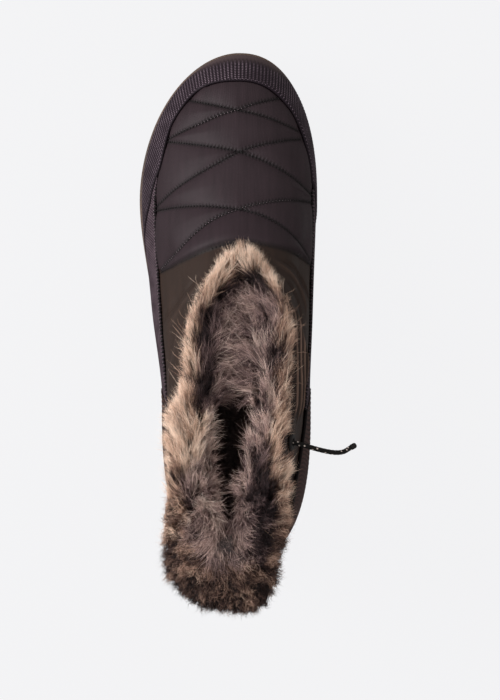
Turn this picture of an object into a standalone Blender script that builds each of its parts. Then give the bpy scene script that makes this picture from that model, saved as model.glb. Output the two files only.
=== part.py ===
"""Pull-on winter boot for the left foot, empty and standing on its sole.

+Y runs from heel to toe, +X to the inner (medial) side of the foot, +Z up. Metres.
The quilted upper is one hollow wall, drawn through six closed sections that climb from
the feather line on the sole to the collar. Its overlays, the fur collar, the insole and
the sole all take their shape from the same section functions.
"""

import math
import random
from collections import namedtuple

import bmesh
import bpy
from mathutils import Vector

# Driving dimensions
SOLE_LENGTH = 0.275
BALL_WIDTH = 0.0976
FOREFOOT_STACK = 0.0215
HEEL_STACK = 0.033
TOE_SPRING = 0.008
ARCH_RISE = 0.006
COLLAR_HEIGHT = 0.155
WALL = 0.0026
GAP = 0.0003
OVERLAY_GAP = 0.0006
FUR_GAP = 0.0005
FUR_RIM_GAP = 0.0008
RAND_THICKNESS = 0.0015
PANEL_THICKNESS = 0.0009
LUG_DEPTH = 0.004
PLATE_THICKNESS = 0.0035
INSOLE_THICKNESS = 0.004
CORD_DIAMETER = 0.0024
EYELET_DIAMETER = 0.0095

HALF_BALL = BALL_WIDTH / 2
COLLAR_RISE = COLLAR_HEIGHT - HEEL_STACK

# Sole profile, as shares of the sole's length from the heel
HEEL_FLAT_END = 0.30
BALL_FLAT_START = 0.56
STACK_LEVEL_START = 0.62
TOE_ROLL_START = 0.76

# How square the ends of an outline are: 2 is an ellipse, more is fuller
MEDIAL_TOE_POWER = 2.3
LATERAL_TOE_POWER = 1.92
HEEL_POWER = 2.6

# Plan of each closed section. Distances along the boot are shares of SOLE_LENGTH from the
# heel, distances across it are shares of HALF_BALL, medial positive.
Plan = namedtuple(
    "Plan",
    "front shoulder heel back front_x back_x "
    "ball_in ball_out waist_in waist_out heel_in heel_out",
)
SOLE_EDGE = Plan(1.000, 0.709, 0.291, 0.000, 0.102, 0.068, 0.977, -1.023, 0.880, -0.875, 0.902, -0.745)
FEATHER = Plan(0.980, 0.709, 0.291, 0.013, 0.102, 0.068, 0.906, -0.932, 0.800, -0.805, 0.835, -0.680)
BULGE = Plan(0.980, 0.709, 0.291, 0.009, 0.102, 0.068, 0.930, -0.930, 0.882, -0.835, 0.850, -0.700)
RAND_TOP = Plan(0.927, 0.684, 0.262, 0.013, 0.102, 0.068, 0.891, -0.789, 0.868, -0.740, 0.815, -0.645)
VAMP = Plan(0.855, 0.636, 0.236, 0.015, 0.102, 0.050, 0.789, -0.635, 0.820, -0.645, 0.738, -0.615)
INSTEP = Plan(0.709, 0.535, 0.189, 0.009, 0.112, 0.000, 0.707, -0.502, 0.727, -0.543, 0.625, -0.584)
COLLAR = Plan(0.571, 0.429, 0.138, 0.000, 0.123, -0.041, 0.625, -0.379, 0.574, -0.461, 0.492, -0.533)

# Height of each section above the top of the sole, as shares of COLLAR_RISE
Rise = namedtuple("Rise", "front ball waist heel back")
UPPER_SECTIONS = [
    (FEATHER, Rise(0.000, 0.000, 0.000, 0.000, 0.000)),
    (BULGE, Rise(0.107, 0.115, 0.139, 0.139, 0.139)),
    (RAND_TOP, Rise(0.258, 0.242, 0.287, 0.287, 0.303)),
    (VAMP, Rise(0.357, 0.365, 0.443, 0.467, 0.533)),
    (INSTEP, Rise(0.488, 0.520, 0.574, 0.664, 0.762)),
    (COLLAR, Rise(0.672, 0.689, 0.734, 0.885, 1.000)),
]
COLLAR_LEVEL = len(UPPER_SECTIONS) - 1

# Steps round one side of a section: toe arc, ball to waist, waist to heel, heel arc
ARC_STEPS = (11, 4, 4, 7)
STEPS_BETWEEN_SECTIONS = 3

# Side of the midsole: how far up it each ledge is, and how far in from the sole's edge
Ledge = namedtuple("Ledge", "height inset")
MIDSOLE_LEDGES = [
    Ledge(0.00, 0.0018),
    Ledge(0.14, 0.0004),
    Ledge(0.46, 0.0002),
    Ledge(0.54, 0.0016),
    Ledge(0.62, 0.0016),
    Ledge(0.70, 0.0002),
    Ledge(1.00, 0.0006),
]

# Tread rows: middle of the row and its depth, as shares of SOLE_LENGTH
TreadRow = namedtuple("TreadRow", "centre depth")
TREAD_ROWS = [TreadRow(0.035 + 0.058 * i, 0.036) for i in range(5)]
TREAD_ROWS += [TreadRow(0.575 + 0.056 * i, 0.034) for i in range(7)]
LUG_SPACE = 0.0045
LUG_SWEEP = 0.004
LUG_EDGE_INSET = 0.0008
LUG_SINK = 0.0015

# Fur roll over the collar's edge: distance down the wall from the edge, and out from its face
FurSection = namedtuple("FurSection", "down out")
FUR_SECTION = [
    FurSection(0.0080, FUR_GAP),
    FurSection(0.0095, 0.0030),
    FurSection(0.0050, 0.0052),
    FurSection(-0.0010, 0.0056),
    FurSection(-0.0062, 0.0034),
    FurSection(-0.0080, -0.0016),
    FurSection(-0.0056, -0.0066),
    FurSection(0.0010, -0.0088),
    FurSection(0.0100, -0.0092),
    FurSection(0.0190, -0.0088),
    FurSection(0.0270, -0.0070),
    FurSection(0.0275, -WALL - FUR_GAP),
    FurSection(0.0150, -WALL - FUR_GAP),
    FurSection(-FUR_RIM_GAP, -WALL - FUR_GAP),
    FurSection(-FUR_RIM_GAP, FUR_GAP),
]
FURRED_FACES = range(1, 10)
LOCK_LENGTH = 0.0055
INNER_LOCK_LENGTH = 0.0032
INNER_FACES_START = 7
LOCK_TIP = 0.3
LOCK_SEED = 11

# Draw cord: where it leaves the wall, and its route outwards from there, chosen by eye
EYELET_STATION = 2.56
EYELET_LEVEL = 4.36
CordPoint = namedtuple("CordPoint", "out forward up")
CORD_ROUTE = [
    CordPoint(0.0000, 0.0000, 0.0000),
    CordPoint(0.0050, -0.0010, 0.0010),
    CordPoint(0.0105, -0.0026, 0.0006),
    CordPoint(0.0165, -0.0043, -0.0014),
    CordPoint(0.0225, -0.0055, -0.0046),
    CordPoint(0.0272, -0.0054, -0.0080),
    CordPoint(0.0310, -0.0036, -0.0112),
]
CORD_POINTS = 16
CORD_TIP_LENGTH = 0.0035
CORD_TIP_DIAMETER = 0.0029

# Colours, linear
COLOURS = {
    "outsole": (0.020, 0.017, 0.017),
    "midsole": (0.026, 0.021, 0.021),
    "insole": (0.060, 0.050, 0.048),
    "upper": (0.045, 0.033, 0.036),
    "rand": (0.036, 0.028, 0.032),
    "panel": (0.090, 0.072, 0.080),
    "fur": (0.300, 0.215, 0.175),
    "cord": (0.012, 0.009, 0.010),
    "moulding": (0.010, 0.008, 0.009),
}
ROUGHNESS = {"outsole": 0.6, "midsole": 0.7, "rand": 0.5, "moulding": 0.45}
FABRIC_ROUGHNESS = 0.85


def smooth_step(start, end, value):
    share = min(1.0, max(0.0, (value - start) / (end - start)))
    return share * share * (3 - 2 * share)


def hermite(first, last, first_slope, last_slope, share):
    square = share * share
    cube = square * share
    return (
        first * (2 * cube - 3 * square + 1)
        + first_slope * (cube - 2 * square + share)
        + last * (3 * square - 2 * cube)
        + last_slope * (cube - square)
    )


def toe_lift(y):
    share = max(0.0, (y / SOLE_LENGTH - TOE_ROLL_START) / (1 - TOE_ROLL_START))
    return TOE_SPRING * share * share


def sole_top(y):
    """Height of the midsole's top face, where the upper stands."""
    forward = smooth_step(HEEL_FLAT_END, STACK_LEVEL_START, y / SOLE_LENGTH)
    return HEEL_STACK + (FOREFOOT_STACK - HEEL_STACK) * forward + toe_lift(y)


def tread_base(y):
    """Height of the outsole's plate above the floor: flat at heel and ball, lifted at arch and toe."""
    share = y / SOLE_LENGTH
    inside = (share - HEEL_FLAT_END) / (BALL_FLAT_START - HEEL_FLAT_END)
    arch = math.sin(math.pi * inside) ** 2 if 0 < inside < 1 else 0.0
    return LUG_DEPTH + ARCH_RISE * arch + toe_lift(y)


def section_y(plan, station):
    """Distance along the boot at a station: 0 front, 1 ball, 2 waist, 3 heel, 4 back."""
    step = abs(station)
    if step <= 1:
        share = plan.shoulder + (plan.front - plan.shoulder) * math.cos(step * math.pi / 2)
    elif step <= 3:
        share = plan.shoulder + (plan.heel - plan.shoulder) * (step - 1) / 2
    else:
        share = plan.heel - (plan.heel - plan.back) * math.sin((step - 3) * math.pi / 2)
    return share * SOLE_LENGTH


def section_x(plan, y, medial):
    """Edge of a section at a distance along the boot, on its medial or lateral side."""
    share = y / SOLE_LENGTH
    ball = plan.ball_in if medial else plan.ball_out
    waist = plan.waist_in if medial else plan.waist_out
    heel = plan.heel_in if medial else plan.heel_out
    if share >= plan.shoulder:
        power = MEDIAL_TOE_POWER if medial else LATERAL_TOE_POWER
        along = min(1.0, (share - plan.shoulder) / (plan.front - plan.shoulder))
        edge = plan.front_x + (ball - plan.front_x) * (1 - along**power) ** (1 / power)
    elif share <= plan.heel:
        along = min(1.0, (plan.heel - share) / (plan.heel - plan.back))
        edge = plan.back_x + (heel - plan.back_x) * (1 - along**HEEL_POWER) ** (1 / HEEL_POWER)
    else:
        along = 2 * (plan.shoulder - share) / (plan.shoulder - plan.heel)
        slope = (heel - ball) / 2
        if along <= 1:
            edge = hermite(ball, waist, 0.0, slope, along)
        else:
            edge = hermite(waist, heel, slope, 0.0, along - 1)
    return edge * HALF_BALL


def section_rise(rise, station):
    step = abs(station)
    first = min(3, int(step))
    slopes = [0.0] + [(rise[i + 1] - rise[i - 1]) / 2 for i in (1, 2, 3)] + [0.0]
    share = hermite(rise[first], rise[first + 1], slopes[first], slopes[first + 1], step - first)
    return share * COLLAR_RISE


def outline_point(plan, station, inset=0.0):
    """Point on a section's plan, moved in from its edge by the inset."""
    y = section_y(plan, station)
    point = Vector((section_x(plan, y, station >= 0), y))
    if inset == 0.0:
        return point
    nudge = 0.01
    before = outline_point(plan, wrapped(station - nudge))
    after = outline_point(plan, wrapped(station + nudge))
    along = (after - before).normalized()
    return point + Vector((along.y, -along.x)) * inset


def wrapped(station):
    """Stations run from -4 to 4, and both ends are the back of the heel."""
    return (station + 4) % 8 - 4


def upper_point(station, level):
    """Point on the outer face of the upper: level 0 is the feather line, COLLAR_LEVEL the collar."""
    nodes = []
    for plan, rise in UPPER_SECTIONS:
        flat = outline_point(plan, station)
        height = sole_top(flat.y) + GAP + section_rise(rise, station)
        nodes.append(Vector((flat.x, flat.y, height)))
    first = min(COLLAR_LEVEL - 1, max(0, int(level)))
    slopes = []
    for i in (first, first + 1):
        low = max(0, i - 1)
        high = min(COLLAR_LEVEL, i + 1)
        slopes.append((nodes[high] - nodes[low]) / (high - low))
    return hermite(nodes[first], nodes[first + 1], slopes[0], slopes[1], level - first)


def upper_frame(station, level):
    """Outward normal and upward direction of the upper's face."""
    nudge = 0.02
    low = max(0.0, level - nudge)
    high = min(float(COLLAR_LEVEL), level + nudge)
    rise = upper_point(station, high) - upper_point(station, low)
    before = upper_point(wrapped(station - nudge), level)
    after = upper_point(wrapped(station + nudge), level)
    normal = rise.cross(after - before).normalized()
    return normal, rise.normalized()


def upper_offset(station, level, out):
    return upper_point(station, level) + upper_frame(station, level)[0] * out


def collar_offset(station, down, out):
    """Point by the collar: a distance down the wall from its edge, and out from its face."""
    edge = upper_point(station, COLLAR_LEVEL)
    normal, up = upper_frame(station, COLLAR_LEVEL)
    if down <= 0:
        return edge + up * -down + normal * out
    stretch = (edge - upper_point(station, COLLAR_LEVEL - 0.5)).length / 0.5
    return upper_offset(station, COLLAR_LEVEL - down / stretch, out)


def side_stations():
    """Stations of one side, from front to back."""
    found = [0.0]
    for segment, steps in enumerate(ARC_STEPS):
        found += [segment + (i + 1) / steps for i in range(steps)]
    return found


SIDE_STATIONS = side_stations()
RING_STATIONS = SIDE_STATIONS + [-s for s in reversed(SIDE_STATIONS[1:-1])]


def principled(name, finish):
    material = bpy.data.materials.new(name)
    material.use_nodes = True
    shader = material.node_tree.nodes["Principled BSDF"]
    shader.inputs["Base Color"].default_value = (*COLOURS[finish], 1.0)
    shader.inputs["Roughness"].default_value = ROUGHNESS.get(finish, FABRIC_ROUGHNESS)
    return material


def add_object(name, data, finish):
    data.materials.append(principled(name, finish))
    made = bpy.data.objects.new(name, data)
    bpy.context.scene.collection.objects.link(made)
    return made


def mesh_object(name, shape, finish, sharp_degrees=40):
    bmesh.ops.recalc_face_normals(shape, faces=shape.faces)
    mesh = bpy.data.meshes.new(name)
    shape.to_mesh(mesh)
    shape.free()
    mesh.shade_smooth()
    mesh.set_sharp_from_angle(angle=math.radians(sharp_degrees))
    return add_object(name, mesh, finish)


def ribbon(shape, first, second, closed):
    """Faces between two rows of vertices of the same count."""
    count = len(first)
    for i in range(count if closed else count - 1):
        after = (i + 1) % count
        shape.faces.new((first[i], first[after], second[after], second[i]))


def wall_object(name, outer, inner, finish, closed):
    """Solid between two grids of points that have the same rows and columns."""
    shape = bmesh.new()
    skins = [[[shape.verts.new(p) for p in row] for row in grid] for grid in (outer, inner)]
    for skin in skins:
        for low, high in zip(skin, skin[1:]):
            ribbon(shape, low, high, closed)
    for edge in (0, -1):
        ribbon(shape, skins[0][edge], skins[1][edge], closed)
    if not closed:
        for side in (0, -1):
            ends = [[row[side] for row in skin] for skin in skins]
            ribbon(shape, ends[0], ends[1], False)
    return mesh_object(name, shape, finish)


def ring_cap(shape, ring):
    """Closes a ring of RING_STATIONS with strips across the boot."""
    count = len(ring)
    half = count // 2
    shape.faces.new((ring[0], ring[1], ring[-1]))
    for i in range(1, half - 1):
        shape.faces.new((ring[i], ring[i + 1], ring[count - i - 1], ring[count - i]))
    shape.faces.new((ring[half - 1], ring[half], ring[half + 1]))


def stack_shape(rings):
    """Solid through a stack of rings, closed at the bottom and the top."""
    shape = bmesh.new()
    layers = [[shape.verts.new(p) for p in ring] for ring in rings]
    for low, high in zip(layers, layers[1:]):
        ribbon(shape, low, high, True)
    ring_cap(shape, layers[0])
    ring_cap(shape, layers[-1])
    return shape


def sole_ring(plan, height_at, inset=0.0):
    points = [outline_point(plan, s, inset) for s in RING_STATIONS]
    return [(p.x, p.y, height_at(p.y)) for p in points]


def lug_rows():
    """Plan corners of every lug: three in a row, swept back towards the sole's edges."""
    for row in TREAD_ROWS:
        front = (row.centre + row.depth / 2) * SOLE_LENGTH
        back = (row.centre - row.depth / 2) * SOLE_LENGTH
        edges = []
        for y in (back, front):
            out = section_x(SOLE_EDGE, y, False) + LUG_EDGE_INSET
            inner = section_x(SOLE_EDGE, y, True) - LUG_EDGE_INSET
            edges.append((out, inner))
        for lug in range(3):
            corners = []
            for y, (out, inner) in zip((back, front), edges):
                width = (inner - out - 2 * LUG_SPACE) / 3
                left = out + lug * (width + LUG_SPACE)
                corners.append((left, y, lug == 0))
                corners.append((left + width, y, lug == 2))
            yield [corners[i] for i in (0, 1, 3, 2)]


def add_lug(shape, corners):
    low = []
    high = []
    for x, y, at_edge in corners:
        swept = y - LUG_SWEEP if at_edge and BALL_FLAT_START * SOLE_LENGTH < y else y
        low.append(shape.verts.new((x, swept, tread_base(y) - LUG_DEPTH)))
        high.append(shape.verts.new((x, swept, tread_base(swept) + LUG_SINK)))
    shape.faces.new(low[::-1])
    shape.faces.new(high)
    ribbon(shape, low, high, True)


def union(target, other):
    """Joins another object's shape into the target, and keeps the other as a hidden helper."""
    other.hide_render = True
    other.display_type = "WIRE"
    joined = target.modifiers.new("joined", "BOOLEAN")
    joined.operation = "UNION"
    joined.solver = "EXACT"
    joined.object = other


def make_outsole():
    def plate_top(y):
        return tread_base(y) + PLATE_THICKNESS

    rings = [
        sole_ring(SOLE_EDGE, tread_base, 0.0012),
        sole_ring(SOLE_EDGE, lambda y: tread_base(y) + PLATE_THICKNESS * 0.4),
        sole_ring(SOLE_EDGE, plate_top),
    ]
    plate = mesh_object("outsole", stack_shape(rings), "outsole")
    lugs = bmesh.new()
    for corners in lug_rows():
        add_lug(lugs, corners)
    union(plate, mesh_object("tread_lugs", lugs, "outsole"))
    return plate


def make_midsole():
    rings = []
    for ledge in MIDSOLE_LEDGES:
        def height_at(y, share=ledge.height):
            low = tread_base(y) + PLATE_THICKNESS + GAP
            return low + (sole_top(y) - low) * share

        rings.append(sole_ring(SOLE_EDGE, height_at, ledge.inset))
    return mesh_object("midsole", stack_shape(rings), "midsole", sharp_degrees=30)


def make_insole():
    inset = WALL + 2 * GAP
    rings = [
        sole_ring(FEATHER, lambda y: sole_top(y) + GAP, inset),
        sole_ring(FEATHER, lambda y: sole_top(y) + GAP + INSOLE_THICKNESS, inset),
    ]
    return mesh_object("insole", stack_shape(rings), "insole")


def make_upper():
    count = COLLAR_LEVEL * STEPS_BETWEEN_SECTIONS
    levels = [i / STEPS_BETWEEN_SECTIONS for i in range(count + 1)]
    outer = [[upper_point(s, level) for s in RING_STATIONS] for level in levels]
    inner = [[upper_offset(s, level, -WALL) for s in RING_STATIONS] for level in levels]
    return wall_object("upper", outer, inner, "upper", closed=True)


def laid_point(station, level, out):
    """Point of a panel laid on the upper, kept above the top of the sole."""
    point = upper_offset(station, level, out)
    point.z = max(point.z, sole_top(point.y) + OVERLAY_GAP)
    return point


def overlay(name, stations, low_at, high_at, rows, thickness, finish):
    """Panel laid on the upper between two levels that vary along it."""
    faces = []
    for out in (OVERLAY_GAP + thickness, OVERLAY_GAP):
        grid = []
        for i in range(rows + 1):
            share = i / rows
            levels = [low_at(s) + (high_at(s) - low_at(s)) * share for s in stations]
            grid.append([laid_point(s, v, out) for s, v in zip(stations, levels)])
        faces.append(grid)
    return wall_object(name, faces[0], faces[1], finish, closed=False)


# Where the overlays end, as stations and levels of the upper
RAND_LEVEL = 2.02
RAND_LATERAL_DIP = 0.28
RAND_LATERAL_RISE = 0.24
RAND_TAIL_LEVEL = 0.30
RAND_TAPER = {True: (0.86, 1.36), False: (0.80, 1.75)}
TAPER_STEPS = {True: 6, False: 10}
PANEL_FRONT_LEVEL = 1.95
PANEL_BACK_LEVEL = 2.40
PANEL_LAP = 0.045
COUNTER_FRONT = 2.80
COUNTER_CLIMB = ((2.80, 2.30), (2.92, 2.50), (3.00, 2.75), (3.06, 3.10), (3.12, 3.50), (3.20, 3.72), (3.45, 3.80), (4.00, 3.70))


def rand_top(station):
    """Top edge of the toe rand: level over the toe, falling to the sole behind the ball."""
    start, end = RAND_TAPER[station >= 0]
    fall = min(1.0, max(0.0, (abs(station) - start) / (end - start)))
    level = RAND_LEVEL - RAND_LATERAL_DIP * smooth_step(0.0, 0.4, -station)
    level += RAND_LATERAL_RISE * smooth_step(0.55, 0.78, -station)
    return level + (RAND_TAIL_LEVEL - level) * fall


def panel_top(station):
    """Top edge of a side panel, climbing a little towards the heel."""
    back = smooth_step(0.9, COUNTER_FRONT, abs(station))
    return PANEL_FRONT_LEVEL + (PANEL_BACK_LEVEL - PANEL_FRONT_LEVEL) * back


def counter_top(station):
    """Top edge of the heel counter, climbing from the side panels to the back."""
    step = abs(station)
    for (first, low), (last, high) in zip(COUNTER_CLIMB, COUNTER_CLIMB[1:]):
        if step <= last:
            return low + (high - low) * (step - first) / (last - first)
    return COUNTER_CLIMB[-1][1]


def taper_stations(medial):
    """Stations along the falling tail of the rand, closer together than elsewhere."""
    start, end = RAND_TAPER[medial]
    steps = TAPER_STEPS[medial]
    return [start + (end - start) * i / steps for i in range(1, steps + 1)]


def make_toe_rand():
    sides = []
    for medial in (True, False):
        level = [s for s in SIDE_STATIONS if s <= RAND_TAPER[medial][0]]
        sides.append(level + taper_stations(medial))
    stations = [-s for s in reversed(sides[1][1:])] + sides[0]
    return overlay("toe_rand", stations, lambda s: 0.0, rand_top, 6, RAND_THICKNESS, "rand")


def make_side_panel(name, sign):
    end = RAND_TAPER[sign > 0][1]
    level = [s for s in SIDE_STATIONS if end + 0.03 < s < COUNTER_FRONT - 0.1]
    steps = taper_stations(sign > 0) + [end + 0.015] + level + [COUNTER_FRONT - 0.015]
    stations = [sign * s for s in steps]

    def low_at(station):
        return 0.0 if abs(station) > end else rand_top(station) + PANEL_LAP

    return overlay(name, stations, low_at, panel_top, 6, PANEL_THICKNESS, "panel")


def make_heel_counter():
    climb = [station for station, level in COUNTER_CLIMB[:-2]]
    side = climb + [s for s in SIDE_STATIONS if s > climb[-1] + 0.05]
    stations = side[:-1] + [4.0] + [-s for s in reversed(side[:-1])]
    return overlay("heel_counter", stations, lambda s: 0.0, counter_top, 8, RAND_THICKNESS, "rand")


def make_fur_collar():
    """Roll of fur over the collar's edge, with a lock drawn out of every second face."""
    shape = bmesh.new()
    rings = []
    for row in FUR_SECTION:
        rings.append([shape.verts.new(collar_offset(s, row.down, row.out)) for s in RING_STATIONS])
    count = len(RING_STATIONS)
    furred = []
    reach = []
    for i, ring in enumerate(rings):
        after = rings[(i + 1) % len(rings)]
        for j in range(count):
            turn = (j + 1) % count
            face = shape.faces.new((ring[j], ring[turn], after[turn], after[j]))
            if i in FURRED_FACES and (i + j) % 2 == 0:
                furred.append(face)
                reach.append(INNER_LOCK_LENGTH if i >= INNER_FACES_START else LOCK_LENGTH)
    bmesh.ops.recalc_face_normals(shape, faces=shape.faces)
    draw = random.Random(LOCK_SEED)
    shape.normal_update()
    pulls = [(face, face.normal.copy(), draw.uniform(0.7, 1.1) * r) for face, r in zip(furred, reach)]
    for face, normal, length in pulls:
        middle = face.calc_center_median()
        tip = bmesh.ops.extrude_discrete_faces(shape, faces=[face])["faces"][0]
        longest = math.sqrt(tip.calc_area())
        for vert in tip.verts:
            inward = (vert.co - middle) * LOCK_TIP
            vert.co = middle + inward + normal * min(length, longest)
    return mesh_object("fur_collar", shape, "fur", sharp_degrees=80)


def turned_shape(profile, steps):
    """Closed ring swept round Z from a closed profile of radius and height."""
    shape = bmesh.new()
    turns = []
    for i in range(steps):
        angle = 2 * math.pi * i / steps
        spoke = Vector((math.cos(angle), math.sin(angle), 0.0))
        turns.append([shape.verts.new(spoke * r + Vector((0, 0, z))) for r, z in profile])
    for i in range(steps):
        ribbon(shape, turns[i], turns[(i + 1) % steps], True)
    return shape


def make_cord_eyelet():
    outer = EYELET_DIAMETER / 2
    hole = CORD_DIAMETER / 2 + 0.0007
    height = 0.0022
    soft = 0.0006
    profile = [
        (outer, 0.0),
        (outer, height - 2 * soft),
        (outer - soft, height - soft),
        (outer - 3 * soft, height),
        (hole + soft, height),
        (hole, height - soft),
        (hole, 0.0),
    ]
    made = mesh_object("cord_eyelet", turned_shape(profile, 18), "moulding")
    normal, up = upper_frame(EYELET_STATION, EYELET_LEVEL)
    made.location = upper_offset(EYELET_STATION, EYELET_LEVEL, OVERLAY_GAP)
    made.rotation_mode = "QUATERNION"
    made.rotation_quaternion = normal.to_track_quat("Z", "Y")
    return made


def cord_line():
    """Points along the draw cord, read from a smooth curve through its route."""
    start = upper_offset(EYELET_STATION, EYELET_LEVEL, OVERLAY_GAP)
    route = [start + Vector(p) for p in CORD_ROUTE]
    line = []
    for i in range(CORD_POINTS + 1):
        along = i / CORD_POINTS * (len(route) - 1)
        first = min(len(route) - 2, int(along))
        slopes = []
        for j in (first, first + 1):
            low = max(0, j - 1)
            high = min(len(route) - 1, j + 1)
            slopes.append((route[high] - route[low]) / (high - low))
        line.append(hermite(route[first], route[first + 1], slopes[0], slopes[1], along - first))
    return line


def make_pull_cord():
    line = cord_line()
    curve = bpy.data.curves.new("pull_cord", "CURVE")
    curve.dimensions = "3D"
    curve.bevel_depth = CORD_DIAMETER / 2
    curve.bevel_resolution = 2
    curve.use_fill_caps = True
    spline = curve.splines.new("POLY")
    spline.points.add(len(line) - 1)
    for point, place in zip(spline.points, line):
        point.co = (*place, 1.0)
    return add_object("pull_cord", curve, "cord")


def make_cord_tip():
    line = cord_line()
    along = (line[-1] - line[-2]).normalized()
    radius = CORD_TIP_DIAMETER / 2
    soft = 0.0005
    shape = bmesh.new()
    bmesh.ops.create_cone(
        shape, cap_ends=True, segments=12, radius1=radius, radius2=radius, depth=CORD_TIP_LENGTH
    )
    ends = [e for e in shape.edges if abs(e.verts[0].co.z - e.verts[1].co.z) < soft]
    bmesh.ops.bevel(shape, geom=ends, offset=soft, segments=1, affect="EDGES")
    made = mesh_object("cord_tip", shape, "moulding")
    made.location = line[-1] + along * (GAP + CORD_TIP_LENGTH / 2)
    made.rotation_mode = "QUATERNION"
    made.rotation_quaternion = along.to_track_quat("Z", "Y")
    return made


def world_box(objects):
    corners = []
    for made in objects:
        corners += [made.matrix_world @ Vector(c) for c in made.bound_box]
    low = Vector([min(c[i] for c in corners) for i in range(3)])
    high = Vector([max(c[i] for c in corners) for i in range(3)])
    return low, high


def main():
    for old in list(bpy.data.objects):
        bpy.data.objects.remove(old)
    boot = [
        make_outsole(),
        make_midsole(),
        make_insole(),
        make_upper(),
        make_toe_rand(),
        make_side_panel("side_panel_medial", 1),
        make_side_panel("side_panel_lateral", -1),
        make_heel_counter(),
        make_fur_collar(),
        make_cord_eyelet(),
    ]
    cord = [make_pull_cord(), make_cord_tip()]
    bpy.context.view_layer.update()
    low, high = world_box(boot)
    root = bpy.data.objects.new("boot", None)
    bpy.context.scene.collection.objects.link(root)
    for made in boot + cord + [bpy.data.objects["tread_lugs"]]:
        made.parent = root
    root.location = (-(low.x + high.x) / 2, -(low.y + high.y) / 2, -low.z)


main()
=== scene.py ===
# %% [markdown]
# # A quilted winter boot with a fur collar
#
# The boot exists as plain solids: a sole, a hollow upper, rubber and cloth overlays, a roll of fur
# and a short cord. This lesson dresses those solids for a picture from above, with the toe at the
# top. The solids are loaded first and never changed, because they say where everything goes.

# %% Load the boot's solids
import math
from collections import namedtuple

import bpy
import numpy as np
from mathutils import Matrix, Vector
from mathutils.kdtree import KDTree


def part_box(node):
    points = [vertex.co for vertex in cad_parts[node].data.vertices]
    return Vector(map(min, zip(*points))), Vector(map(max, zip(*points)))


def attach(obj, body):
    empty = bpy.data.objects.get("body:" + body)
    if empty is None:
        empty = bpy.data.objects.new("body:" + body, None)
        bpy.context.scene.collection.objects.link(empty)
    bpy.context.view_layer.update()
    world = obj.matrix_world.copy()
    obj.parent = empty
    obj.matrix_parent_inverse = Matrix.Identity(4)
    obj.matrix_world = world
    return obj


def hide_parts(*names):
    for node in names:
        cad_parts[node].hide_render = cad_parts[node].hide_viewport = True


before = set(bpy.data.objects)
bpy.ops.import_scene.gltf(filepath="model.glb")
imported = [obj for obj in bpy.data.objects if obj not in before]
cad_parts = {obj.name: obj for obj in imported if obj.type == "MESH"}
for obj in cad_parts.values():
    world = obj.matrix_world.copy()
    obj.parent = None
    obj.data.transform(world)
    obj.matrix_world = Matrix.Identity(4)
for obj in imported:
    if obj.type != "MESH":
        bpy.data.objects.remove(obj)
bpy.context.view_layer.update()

print("solids:", ", ".join(sorted(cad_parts)))

# %% [markdown]
# ## The boot's drawing
#
# A shoemaker draws an upper as a few closed lines round the last. The solids came from six such
# lines, from the feather line on the sole up to the collar, so every dressed piece can follow the
# same drawing instead of being fitted by eye. The drawing is written here for whole arrays of
# points at once, which keeps a mesh of fifty thousand points quick.

# %% Sections of the drawing
SOLE_LENGTH = 0.275
HALF_BALL = 0.0976 / 2
FOREFOOT_STACK, HEEL_STACK = 0.0215, 0.033
TOE_SPRING, TOE_SPRING_FROM, TOE_SPRING_OVER = 0.008, 0.76, 0.24
SHANK_FROM, SHANK_TO = 0.30, 0.62
COLLAR_RISE = 0.155 - HEEL_STACK
GAP, OVERLAY_GAP = 0.0003, 0.0006
WALL = 0.0026
MEDIAL_TOE_POWER, LATERAL_TOE_POWER, HEEL_POWER = 2.3, 1.92, 2.6

# Places along the boot are shares of SOLE_LENGTH, and places across it shares of HALF_BALL
Plan = namedtuple(
    "Plan",
    "front shoulder heel back front_x back_x "
    "ball_in ball_out waist_in waist_out heel_in heel_out",
)
SOLE_EDGE = Plan(1.000, 0.709, 0.291, 0.000, 0.102, 0.068, 0.977, -1.023, 0.880, -0.875, 0.902, -0.745)
FEATHER = Plan(0.980, 0.709, 0.291, 0.013, 0.102, 0.068, 0.906, -0.932, 0.800, -0.805, 0.835, -0.680)
BULGE = Plan(0.980, 0.709, 0.291, 0.009, 0.102, 0.068, 0.930, -0.930, 0.882, -0.835, 0.850, -0.700)
RAND_TOP = Plan(0.927, 0.684, 0.262, 0.013, 0.102, 0.068, 0.891, -0.789, 0.868, -0.740, 0.815, -0.645)
VAMP = Plan(0.855, 0.636, 0.236, 0.015, 0.102, 0.050, 0.789, -0.635, 0.820, -0.645, 0.738, -0.615)
INSTEP = Plan(0.709, 0.535, 0.189, 0.009, 0.112, 0.000, 0.707, -0.502, 0.727, -0.543, 0.625, -0.584)
COLLAR = Plan(0.571, 0.429, 0.138, 0.000, 0.123, -0.041, 0.625, -0.379, 0.574, -0.461, 0.492, -0.533)
# Heights at the front, ball, waist, heel and back, as shares of COLLAR_RISE above the sole
UPPER_SECTIONS = [
    (FEATHER, (0.000, 0.000, 0.000, 0.000, 0.000)),
    (BULGE, (0.107, 0.115, 0.139, 0.139, 0.139)),
    (RAND_TOP, (0.258, 0.242, 0.287, 0.287, 0.303)),
    (VAMP, (0.357, 0.365, 0.443, 0.467, 0.533)),
    (INSTEP, (0.488, 0.520, 0.574, 0.664, 0.762)),
    (COLLAR, (0.672, 0.689, 0.734, 0.885, 1.000)),
]
COLLAR_LEVEL = len(UPPER_SECTIONS) - 1

sole_low, sole_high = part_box("outsole")
DRAWN_TO_FRAME = np.array(
    [sole_low.x - SOLE_EDGE.ball_out * HALF_BALL, sole_high.y - SOLE_EDGE.front * SOLE_LENGTH, 0.0]
)
print("drawing's offset in mm:", np.round(DRAWN_TO_FRAME * 1000, 2))

# %% Heights of the sole and outlines of a section


def smooth_step(start, end, value):
    share = np.clip((value - start) / (end - start), 0.0, 1.0)
    return share * share * (3 - 2 * share)


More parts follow.
